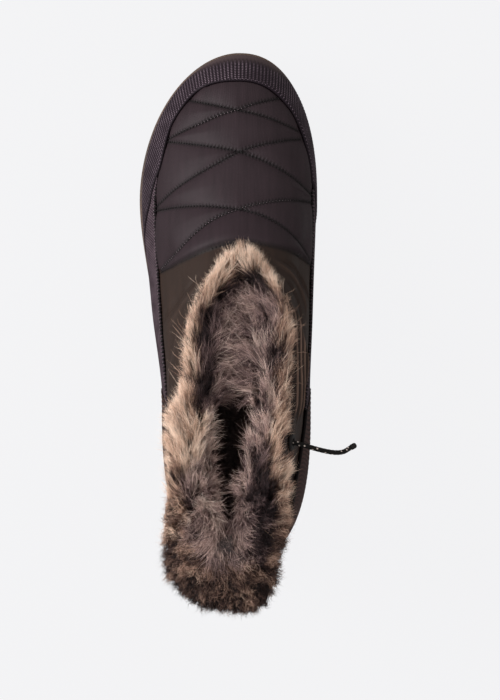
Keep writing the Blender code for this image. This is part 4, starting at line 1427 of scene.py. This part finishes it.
# %% Profile of the roll
FurRow = namedtuple("FurRow", "down out swell hair density")
FUR_ROWS = [
    FurRow(0.0050, 0.0004, 0.00, 0.0085, 0.9),
    FurRow(0.0042, 0.0015, 0.00, 0.0105, 1.0),
    FurRow(0.0018, 0.0024, 0.00, 0.0120, 1.1),
    FurRow(-0.0014, 0.0025, 0.00, 0.0125, 1.3),
    FurRow(-0.0042, 0.0012, 0.00, 0.0130, 1.4),
    FurRow(-0.0054, -0.0018, 0.00, 0.0135, 1.4),
    FurRow(-0.0042, -0.0054, 0.25, 0.0145, 1.4),
    FurRow(0.0006, -0.0086, 0.70, 0.0160, 1.4),
    FurRow(0.0080, -0.0100, 0.95, 0.0165, 1.3),
    FurRow(0.0180, -0.0104, 1.00, 0.0150, 0.8),
    FurRow(0.0300, -0.0100, 1.00, 0.0110, 0.3),
    FurRow(0.0430, -0.0085, 0.70, 0.0080, 0.1),
    FurRow(0.0540, -0.0050, 0.20, 0.0060, 0.05),
]
ROLL_BACK = [
    (0.0550, -0.0031), (0.0300, -0.0031), (0.0120, -0.0031), (-0.0008, -0.0031), (-0.0008, 0.0006),
]
# Round the collar, in mm: how far the tips stand out from the wall in plan
REACH_ROUND = [
    (-4.0, 15.8), (-3.85, 14.4), (-3.7, 13.9), (-3.5, 12.8), (-3.35, 9.0), (-3.2, 6.0), (-3.0, 4.2),
    (-2.8, 4.0), (-2.5, 6.4), (-2.2, 9.4), (-2.0, 10.0), (-1.7, 6.0), (-1.4, 3.2), (-1.0, 4.5),
    (-0.85, 2.5), (-0.65, 0.2), (-0.45, 0.3), (-0.3, 1.6), (-0.2, 4.0), (-0.1, 8.5), (0.0, 10.6),
    (0.08, 10.0), (0.15, 7.5), (0.22, 4.5), (0.3, 1.8), (0.45, 0.0), (0.7, 0.4), (0.85, 3.0),
    (1.0, 3.0), (1.3, 0.8), (1.7, 1.6), (2.0, 3.2), (2.3, 5.2), (2.5, 6.8), (2.8, 7.6), (3.0, 7.6),
    (3.12, 8.6), (3.22, 8.4), (3.32, 6.4), (3.42, 6.2), (3.6, 12.6), (3.75, 17.0), (3.88, 17.4),
    (4.0, 15.8),
]
# Round the collar, in mm: how far the two inner sides swell into the opening
FULL_ROUND = [
    (-4.0, 11.0), (-3.45, 14.0), (-3.2, 14.5), (-3.0, 10.0), (-2.8, 7.6), (-2.4, 7.2), (-2.0, 8.0),
    (-1.6, 11.0), (1.6, 11.0), (2.0, 8.0), (2.4, 7.2), (2.8, 7.6), (3.0, 10.0), (3.2, 14.5),
    (3.45, 14.0), (4.0, 11.0),
]
# The reach, in metres, at which the roll has about its full thickness outside the wall
REACH_UNIT = 0.010
PROFILE_STEPS = 241


def round_collar(table, station):
    """A value that changes round the collar, from lateral back over the front to medial back."""
    table = np.array(table)
    return np.interp(station, table[:, 0], table[:, 1])


def in_front(station):
    return smooth_step(0.9, 0.3, np.abs(station))


def collar_offset(station, down, out):
    """Points by the collar: a distance down the wall from its edge, and out from its face."""
    station, down, out = np.broadcast_arrays(station, down, out)
    edge = upper_points(station, COLLAR_LEVEL)
    normal, up = upper_frame(station, COLLAR_LEVEL)
    above = edge + up * np.maximum(-down, 0)[..., None] + normal * out[..., None]
    stretch = np.linalg.norm(edge - upper_points(station, COLLAR_LEVEL - 0.5), axis=-1) / 0.5
    below = upper_offset(station, COLLAR_LEVEL - np.maximum(down, 0) / stretch, out)
    return np.where((down <= 0)[..., None], above, below)


def roll_profile(station, row):
    """Distances down and out for the furred face: row runs from the outer hem to the lining's foot."""
    table = np.array(FUR_ROWS)
    smooth = curve_through(table, PROFILE_STEPS)
    at = np.linspace(0, len(table) - 1, PROFILE_STEPS)
    down, out, swell = (np.interp(row, at, smooth[:, i]) for i in range(3))
    reach = round_collar(REACH_ROUND, station) / 1000 / REACH_UNIT
    fuller = 0.3 + 0.9 * reach + 0.6 * reach**2 + 0.9 * reach * np.maximum(reach - 1, 0)
    out = np.where(out > 0, out * fuller, out)
    down = np.where((row < 4) & (down > 0), down * (1 - 0.6 * in_front(station)), down)
    return down, out - swell * round_collar(FULL_ROUND, station) / 1000


def roll_points(station, row):
    return collar_offset(station, *roll_profile(station, row))


fur_stations = ring_stations(40, 16, 16, 24)
roll_rows = np.linspace(0, len(FUR_ROWS) - 1, 40)
roll_station, roll_row = np.meshgrid(fur_stations, roll_rows)
back_rows = [collar_offset(fur_stations, np.array(down), np.array(out)) for down, out in ROLL_BACK]
roll_grid = np.concatenate((roll_points(roll_station, roll_row), np.array(back_rows)))
fur_roll = skin("fur_backing", roll_grid, "fur", [KNIT_BACKING])
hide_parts("fur_collar")

# %% [markdown]
# ## Fur collar: the pile
#
# Real fur lies in tufts, combed from the inside over the edge. Each hair is darkened towards its
# root, as painted shade deep in the pile, and lightened towards its tip, as a painted highlight.
# Blender's hair system is not kept by the export, so each hair is a thin three-sided blade. The
# lesson works out where it grows, where it leans and its coat in arrays, and Geometry Nodes set one
# blade on each point.

# %% Where hairs grow
HAIRS = 75000
GUARD_SHARE = 0.40
GRID_ROUND, GRID_ACROSS = 481, 97
draw = np.random.default_rng(21)


def along_rows(name, row):
    """A column of the fur's rows, at places between them."""
    return np.interp(row, np.arange(len(FUR_ROWS)), [getattr(fur_row, name) for fur_row in FUR_ROWS])


grid_u = np.linspace(-4, 4, GRID_ROUND)
grid_q = np.linspace(0, len(FUR_ROWS) - 1, GRID_ACROSS)
grow_u, grow_q = np.meshgrid(grid_u, grid_q)
fur_surface = roll_points(wrapped(grow_u), grow_q)
step_u = fur_surface[:-1, 1:] - fur_surface[:-1, :-1]
step_q = fur_surface[1:, :-1] - fur_surface[:-1, :-1]
cell_normal = np.cross(step_q, step_u)
cell_area = np.linalg.norm(cell_normal, axis=-1)
density = along_rows("density", grid_q[:-1])
chance = (cell_area * density[:, None]).ravel()
chosen_cell = draw.choice(chance.size, HAIRS, p=chance / chance.sum())
cell = np.divmod(chosen_cell, cell_area.shape[1])
jitter = draw.uniform(size=(2, HAIRS))
roots = fur_surface[cell] + step_u[cell] * jitter[0][:, None] + step_q[cell] * jitter[1][:, None]
hair_u = grow_u[cell] + jitter[0] * (grid_u[1] - grid_u[0])
hair_q = grow_q[cell] + jitter[1] * (grid_q[1] - grid_q[0])
print(HAIRS, "hairs on", round(cell_area.sum() * 1e4), "square centimetres")

# %% Tufts, and how hairs lean
# Length of the pile round the collar, as a share: of the rim, and then of the inside
RIM_LENGTH_ROUND = [
    (-4.0, 0.30), (-3.4, 0.36), (-2.6, 1.00), (-0.6, 1.10), (0.6, 1.05), (2.6, 0.95), (3.4, 0.36),
    (4.0, 0.30),
]
INSIDE_LENGTH_ROUND = [
    (-4.0, 0.90), (-3.4, 1.00), (-3.1, 0.85), (-2.9, 0.62), (-1.8, 0.55), (-1.45, 1.05),
    (1.45, 1.05), (1.8, 0.55), (2.9, 0.62), (3.1, 0.85), (3.4, 1.00), (4.0, 0.90),
]
# Lean from the hem over the crown to the inside: 0 lies down the wall, 1 stands up, 2 lies inwards
LEAN_ROWS = [
    (0.0, 0.08), (2.0, 0.35), (3.5, 0.58), (5.0, 0.75), (6.0, 0.95), (7.0, 1.12), (8.0, 1.20),
    (12.0, 1.15),
]
# Extra lean over the opening, where the two sides meet, and less behind, where the fluff is combed out
INWARD_ROUND = [
    (-4.0, -0.45), (-3.3, -0.35), (-2.9, -0.10), (-2.0, -0.15), (-1.5, 0.20), (1.5, 0.20),
    (2.0, -0.15), (2.9, -0.10), (3.3, -0.30), (4.0, -0.45),
]
FORWARD_COMB, BACKWARD_COMB = 0.85, 0.65
CLUMP_HAIRS, CLUMP_PULL = 42, 0.62
SHORTEST = 0.0012

heads = draw.choice(HAIRS, HAIRS // CLUMP_HAIRS, replace=False)
clumps = nearest_of(roots[heads])
own_clump = np.array([clumps.find(root)[1] for root in roots])

wall_normal, wall_up = upper_frame(wrapped(hair_u), COLLAR_LEVEL)
plan_out = unit(wall_normal * IN_PLAN)
forward = np.cross(plan_out, UPWARD) * -np.sign(hair_u)[:, None]
round_front = smooth_step(0.25, 0.70, np.abs(hair_u))[:, None]
forward = unit(forward * round_front + TOEWARD * (1 - round_front))
down_wall = np.clip(np.arctan2(-wall_up[:, 2], -(wall_up * plan_out).sum(1)), -1.48, -0.35)
inside = smooth_step(5.2, 7.5, hair_q)
back = smooth_step(2.6, 3.2, np.abs(hair_u))
share = round_collar(LEAN_ROWS, hair_q) * (1 - 0.30 * in_front(hair_u) * (1 - inside))
# Where little fur may show outside the edge the rim stands up
share += np.maximum(1 - share, 0) * 0.85 * smooth_step(3.5, 0.0, round_collar(REACH_ROUND, hair_u))
share += round_collar(INWARD_ROUND, hair_u) * inside
share -= 0.22 * back * smooth_step(2.4, 1.0, hair_q)
pitch = down_wall + (np.pi / 2 - down_wall) * share
comb = FORWARD_COMB * (1 - back) * (0.6 + 0.4 * smooth_step(2.0, 5.0, hair_q))
comb *= 1 - 0.9 * in_front(hair_u) * inside
tangle = 0.26 + 0.24 * inside * (1 - back) + back * (0.14 - 0.26 * inside)
wild = 0.10 + 0.06 * inside + 0.16 * back * (1 - inside)
lean = plan_out * np.cos(pitch)[:, None] + UPWARD * np.sin(pitch)[:, None]
heelward = (BACKWARD_COMB * back * inside)[:, None]
lean = unit(lean + forward * comb[:, None] - TOEWARD * heelward)
flow = np.stack([soft_noise(roots, 0.020, seed) for seed in (51, 52, 53)], 1)
lean = unit(lean + flow * 0.22 + draw.normal(size=(len(heads), 3))[own_clump] * tangle[:, None])
lean = unit(lean + draw.normal(size=(HAIRS, 3)) * wild[:, None])
print(len(heads), "tufts")

# %% How long hairs are, and how tufts close up at their tips
GUARD_LENGTH, UNDERCOAT_LENGTH = 1.22, 0.78
# Loose guard hairs reach further over the cloth, from the rows outside and stations at both sides
LOOSE_SHARE, LOOSE_REACH, LOOSE_ROWS, LOOSE_STATION, LOOSE_SPREAD = 0.022, 0.007, 6, 1.1, 0.6
# Stray guard hairs stay out of their tuft and are a little longer
STRAY_SHARE, STRAY_LENGTH = 0.16, 1.15

rim_length = round_collar(RIM_LENGTH_ROUND, hair_u)
inside_length = round_collar(INSIDE_LENGTH_ROUND, hair_u)
# Along the hem the pile hangs down in full length
rim_length += (1.1 - rim_length) * smooth_step(2.4, 1.0, hair_q) * back
hair_length = along_rows("hair", hair_q)
hair_length *= (rim_length + (inside_length - rim_length) * inside) * draw.uniform(0.65, 1.15, HAIRS)
is_guard = draw.uniform(size=HAIRS) < GUARD_SHARE
loose = is_guard & (draw.uniform(size=HAIRS) < LOOSE_SHARE) & (hair_q < LOOSE_ROWS)
loose &= np.abs(np.abs(hair_u) - LOOSE_STATION) < LOOSE_SPREAD
hair_length *= np.where(is_guard, GUARD_LENGTH, UNDERCOAT_LENGTH)
trim = draw.uniform(0.62, 1.20, len(heads))[own_clump] * draw.uniform(0.88, 1.08, HAIRS)
trim += (1 - trim) * 0.6 * back

collar_stations = np.linspace(-4, 4, 1601)
collar_edge = upper_points(wrapped(collar_stations), COLLAR_LEVEL) * IN_PLAN
collar_out = unit(upper_frame(wrapped(collar_stations), COLLAR_LEVEL)[0] * IN_PLAN)
nearest_edge = nearest_of(collar_edge)


def from_edge(points):
    """Station of the nearest point of the collar's edge in plan, and the distance outside it."""
    found = np.array([nearest_edge.find((x, y, 0.0))[1] for x, y, _ in points])
    return collar_stations[found], ((points - collar_edge[found]) * collar_out[found]).sum(1)


root_out = from_edge(roots)[1]


def trimmed(lean, length):
    """Length of each hair, cut so that its tip stands out in plan no further than REACH_ROUND says."""
    station, tip_out = from_edge(roots + lean * length[:, None])
    allowed = round_collar(REACH_ROUND, station) / 1000 * trim + np.where(loose, LOOSE_REACH, 0.0)
    left_over = np.clip((allowed - root_out) / np.maximum(tip_out - root_out, 1e-6), 0, 1)
    return np.where(tip_out > allowed, np.maximum(length * left_over, SHORTEST), length)


hair_length = trimmed(lean, hair_length)
head = heads[own_clump]
clump_tip = roots[head] + lean[head] * hair_length[head][:, None] * 1.05
stray = is_guard & (draw.uniform(size=HAIRS) < STRAY_SHARE)
tight = CLUMP_PULL * (1 - 0.55 * back * inside) * draw.uniform(0.5, 1.2, HAIRS)
pull = np.where(stray, 0.0, tight)[:, None]
lean = unit(lean * (1 - pull) + unit(clump_tip - roots) * pull)
hair_length = np.where(stray, hair_length * STRAY_LENGTH, trimmed(lean, hair_length))
bend = wall_up * -0.5 + wall_normal * 0.3 + draw.normal(size=(HAIRS, 3)) * 0.7
print("hair length in mm:", np.round(np.percentile(hair_length, (5, 50, 95)) * 1000, 1))

# %% Coat of each hair
# The rim is pale, a dark band runs inside it and grey fluff fills the middle. Each zone's tone, and how
# many mm inside the collar's edge it ends in plan, change round the collar.
FurZone = namedtuple("FurZone", "station rim rim_end band band_end inside")
FUR_ZONES = [
    FurZone(-4.0, 0.19, 7, 0.38, 13, 0.70),
    FurZone(-3.5, 0.24, 5, 0.48, 12, 0.66),
    FurZone(-3.0, 0.54, 4, 0.50, 13, 0.62),
    FurZone(-2.7, 0.56, 1, 0.26, 8, 0.58),
    FurZone(-2.4, 0.88, 10, 0.84, 18, 0.72),
    FurZone(-1.9, 0.88, 9, 0.78, 18, 0.66),
    FurZone(-1.65, 0.78, 2.2, 0.08, 14, 0.52),
    FurZone(-1.0, 0.78, 2.0, 0.08, 13, 0.52),
    FurZone(-0.7, 0.78, 3.5, 0.12, 14, 0.54),
    FurZone(-0.4, 0.96, 8, 0.10, 16, 0.52),
    FurZone(0.0, 0.99, 4.5, 0.10, 12, 0.54),
    FurZone(0.35, 0.94, 2.5, 0.10, 10, 0.52),
    FurZone(0.5, 0.76, 3, 0.22, 8, 0.48),
    FurZone(0.8, 0.58, 3, 0.42, 8, 0.46),
    FurZone(1.0, 0.60, 3, 0.34, 8, 0.44),
    FurZone(1.3, 0.60, 3, 0.12, 12, 0.46),
    FurZone(1.7, 0.66, 4, 0.52, 9, 0.52),
    FurZone(2.2, 0.74, 5, 0.62, 9, 0.58),
    FurZone(2.6, 0.70, 3, 0.14, 13, 0.56),
    FurZone(3.0, 0.74, -1, 0.08, 12, 0.54),
    FurZone(3.3, 0.34, 0, 0.08, 11, 0.62),
    FurZone(4.0, 0.19, 7, 0.38, 13, 0.70),
]
WARM_COAT = ("#1c1313", "#553f39", "#b08d7b", "#e6c4ac", "#f8dfcb")
GREY_COAT = ("#1b1416", "#574547", "#a58b89", "#d6bab1", "#efdacd")
# How far tones differ from tuft to tuft and from hair to hair, and how much darker the undercoat is
TUFT_SPREAD, HAIR_SPREAD, UNDERCOAT_DARKER = 0.19, 0.11, 0.08

middle = roots + lean * hair_length[:, None] * 0.6
seen_u, middle_out = from_edge(middle)
depth = -1000 * middle_out + 2.6 * soft_noise(middle, 0.012, 41)
zones = FurZone(*np.array(FUR_ZONES).T)
rim, rim_end, band, band_end, fluff = (np.interp(seen_u, zones.station, column) for column in zones[1:])
into_band = smooth_step(rim_end - 1.6, rim_end + 1.6, depth)
into_fluff = smooth_step(band_end - 2, band_end + 2, depth)
pale = rim + (band - rim) * into_band + (fluff - band) * into_fluff
tuft_tone = draw.normal(size=len(heads))[own_clump]
patchy = 0.07 + 0.11 * smooth_step(8, 16, depth)
spread = TUFT_SPREAD * (1 - 0.5 * back * inside) * tuft_tone + draw.normal(size=HAIRS) * HAIR_SPREAD
pale += spread + patchy * soft_noise(roots, 0.022, 31)
pale -= np.where(is_guard, 0.0, UNDERCOAT_DARKER)
pale = np.clip(pale, 0.02, 0.98 - 0.22 * smooth_step(3.0, 3.4, np.abs(seen_u)))
greyness = (0.85 * smooth_step(rim_end, rim_end + 4, depth))[:, None]


def from_ramp(colours):
    steps = np.linspace(0, 1, len(colours))
    channels = np.array([linear(c)[:3] for c in colours])
    return np.stack([np.interp(pale, steps, channels[:, i]) for i in range(3)], 1)


coat = from_ramp(WARM_COAT) * (1 - greyness) + from_ramp(GREY_COAT) * greyness
print("pale hairs:", round(float((pale > 0.6).mean()) * 100), "%")

# %% Faux fur: modacrylic pile, soft satin along the hair, with painted shade towards the root and a painted highlight towards the tip


def faux_fur():
    material, tree, shader = new_material("faux_fur", 0.55, Specular_IOR_Level=0.25)
    # Painted shade deep in the pile, darker towards each hair's root, and a painted highlight, lighter than
    # its coat, towards the tip
    shade = mapped(tree, attribute(tree, "along"), to_low=0.32, to_high=1.25)
    dress(tree, shader, scaled(tree, attribute(tree, "coat", "Color"), shade))
    return material


FAUX_FUR = faux_fur()

# %% Tree that sets one blade on each point


def pile_tree():
    sizes = [("Blade", "NodeSocketObject", None), ("Coat", "NodeSocketMaterial", None)]
    tree, given = new_tree("fur_pile", sizes)
    lean, bend, size = (field(tree, name, "FLOAT_VECTOR") for name in ("lean", "bend", "size"))
    blade = add_node(tree, "GeometryNodeObjectInfo", {"Object": given["Blade"]}).outputs["Geometry"]
    turn = add_node(
        tree,
        "FunctionNodeAxesToRotation",
        {"Primary Axis": lean, "Secondary Axis": bend},
        primary_axis="Z",
        secondary_axis="X",
    ).outputs["Rotation"]
    return end_with_instances(tree, given["Geometry"], blade, turn, size, given["Coat"])


PILE = pile_tree()

# %% Blades: thin, three-sided, one unit long: bent guard hairs and a straight one for the undercoat
GUARD_THICKNESS, UNDERCOAT_THICKNESS = 0.00022, 0.00032
GUARD_RINGS = (0.0, 0.35, 0.70, 1.0)
# Pieces of fur: rows of the rim, and stations where the waist and the back begin
RIM_ROWS, WAIST_FROM, BACK_FROM = 6.2, 1.5, 2.9


def blade(name, heights, bend_at_tip, wave):
    """A hair one unit long and one unit thick, bent sideways by a number of its own thicknesses."""
    points, along = [], []
    for height in heights:
        sway = wave * math.sin(2 * math.pi * height)
        middle = np.array([bend_at_tip * height**2 + sway, wave * height, height])
        radius = 0.5 * (1 - height) ** 0.5
        spokes = [0, 2 * math.pi / 3, 4 * math.pi / 3] if radius else [0]
        for angle in spokes:
            points.append(middle + radius * np.array([math.cos(angle), math.sin(angle), 0.0]))
            along.append(height)
    faces = [(2, 1, 0)]
    for ring in range(0, 3 * (len(heights) - 2), 3):
        faces += [(ring + i, ring + (i + 1) % 3, ring + 3 + (i + 1) % 3, ring + 3 + i) for i in range(3)]
    last = 3 * (len(heights) - 2)
    faces += [(last + i, last + (i + 1) % 3, last + 3) for i in range(3)]
    mesh = bpy.data.meshes.new(name)
    mesh.from_pydata([tuple(p) for p in points], [], faces)
    add_attribute(mesh, "along", "FLOAT", np.array(along))
    return bpy.data.objects.new(name, mesh)


def plant(name, chosen, shape):
    """One piece of fur from the chosen hairs."""
    piece = add_piece(name, roots[chosen], [], "fur", [FAUX_FUR])
    mesh = piece.data
    thickness = thick[chosen]
    add_attribute(mesh, "lean", "FLOAT_VECTOR", lean[chosen])
    add_attribute(mesh, "bend", "FLOAT_VECTOR", bend[chosen])
    add_attribute(mesh, "size", "FLOAT_VECTOR", np.column_stack((thickness, thickness, hair_length[chosen])))
    add_attribute(mesh, "coat", "FLOAT_COLOR", np.column_stack((coat[chosen], np.ones(chosen.sum()))))
    grow(piece, PILE, {"Blade": shape, "Coat": FAUX_FUR})
    for extra in ("lean", "bend", "size"):
        if extra in piece.data.attributes:
            piece.data.attributes.remove(piece.data.attributes[extra])
    return piece


thick = draw.uniform(0.75, 1.3, HAIRS) * np.where(is_guard, GUARD_THICKNESS, UNDERCOAT_THICKNESS)
# The fur is parted over the eyelet, which is seen nearly edge on, and over the start of the cord
EYELET_CLEARING, CORD_CLEARING = np.array([0.0026, 0.0056]), 0.0022
tips = roots + lean * hair_length[:, None]
kept = np.ones(HAIRS, bool)
for at in (roots, middle, tips):
    kept &= np.linalg.norm((at - eyelet_place)[:, :2] / EYELET_CLEARING, axis=1) > 1
    for cleared in cord_line[8:60:6]:
        kept &= np.hypot(*(at - cleared)[:, :2].T) > CORD_CLEARING
print("hairs parted round the eyelet:", int((~kept).sum()))

combed_blade = blade("combed_blade", GUARD_RINGS, 13.0, 1.2)
curly_blade = blade("curly_blade", GUARD_RINGS, 11.0, 6.0)
short_blade = blade("short_blade", (0.0, 1.0), 0.0, 0.0)
is_rim = hair_q < RIM_ROWS
is_back = np.abs(hair_u) > BACK_FROM
is_waist = np.abs(hair_u) >= WAIST_FROM
guard = kept & is_guard
plant("fur_rim", guard & is_rim & ~is_back & (hair_u < 0), combed_blade)
plant("fur_rim_medial", guard & is_rim & ~is_back & (hair_u >= 0), combed_blade)
plant("fur_back", guard & is_back & is_rim, curly_blade)
plant("fur_inside", guard & ~is_rim & ~is_back & ~is_waist, curly_blade)
plant("fur_inside_waist", guard & ~is_rim & ~is_back & is_waist, combed_blade)
plant("fur_inside_back", guard & ~is_rim & is_back, combed_blade)
plant("fur_undercoat_lateral", kept & ~is_guard & (hair_u < 0), short_blade)
plant("fur_undercoat_medial", kept & ~is_guard & (hair_u >= 0), short_blade)
for used in (combed_blade, curly_blade, short_blade):
    bpy.data.objects.remove(used)

# %% [markdown]
# ## Floor and light
#
# The photograph has a near-white ground with hardly any shadow: a product shot on a lit table.
# An even bright sky does most of the work, one large soft lamp on the left gives form, and the floor
# glows a little so that only a trace of shadow is left.

# %% Floor
FLOOR_HALF = 3.0
floor_mesh = bpy.data.meshes.new("floor")
corners = [(x * FLOOR_HALF, y * FLOOR_HALF, 0) for x, y in ((-1, -1), (1, -1), (1, 1), (-1, 1))]
floor_mesh.from_pydata(corners, [], [(0, 1, 2, 3)])
floor = bpy.data.objects.new("floor", floor_mesh)
bpy.context.scene.collection.objects.link(floor)
floor.visible_diffuse = floor.visible_glossy = False
lit_table = new_material(
    "lit_table",
    1.0,
    Base_Color=(0.02, 0.02, 0.02, 1.0),
    Emission_Color=(0.985, 0.985, 1.0, 1.0),
    Emission_Strength=0.885,
    Specular_IOR_Level=0.0,
)[0]
floor_mesh.materials.append(lit_table)

# %% Light
SKY_STRENGTH, GROUND_STRENGTH = 0.75, 0.25
# The sky fades to the ground between these heights of the direction looked in
FADE_FROM, FADE_TO = -0.2, 0.2
LAMP_WATTS = 18.0
LAMP_PLACE, LAMP_AIM, LAMP_SIZE = (-0.95, 0.25, 0.75), (0.0, 0.0, 0.06), (0.7, 0.9)

world = bpy.data.worlds.new("studio")
world.use_nodes = True
sky = world.node_tree.nodes["Background"]
sky.inputs["Color"].default_value = (1.0, 0.985, 0.97, 1.0)
direction = add_node(world.node_tree, "ShaderNodeTexCoord").outputs["Generated"]
upward = add_node(world.node_tree, "ShaderNodeSeparateXYZ", {0: direction}).outputs["Z"]
strength = mapped(world.node_tree, upward, FADE_FROM, FADE_TO, GROUND_STRENGTH, SKY_STRENGTH)
world.node_tree.links.new(strength, sky.inputs["Strength"])
bpy.context.scene.world = world
lamp = bpy.data.objects.new("softbox", bpy.data.lights.new("softbox", "AREA"))
lamp.data.shape = "RECTANGLE"
lamp.data.size, lamp.data.size_y = LAMP_SIZE
lamp.data.energy = LAMP_WATTS
lamp.location = LAMP_PLACE
lamp.rotation_euler = (Vector(LAMP_AIM) - lamp.location).to_track_quat("-Z", "Y").to_euler()
bpy.context.scene.collection.objects.link(lamp)
bpy.context.scene.view_settings.view_transform = "Standard"
print("lamp", LAMP_WATTS, "W, sky", SKY_STRENGTH)
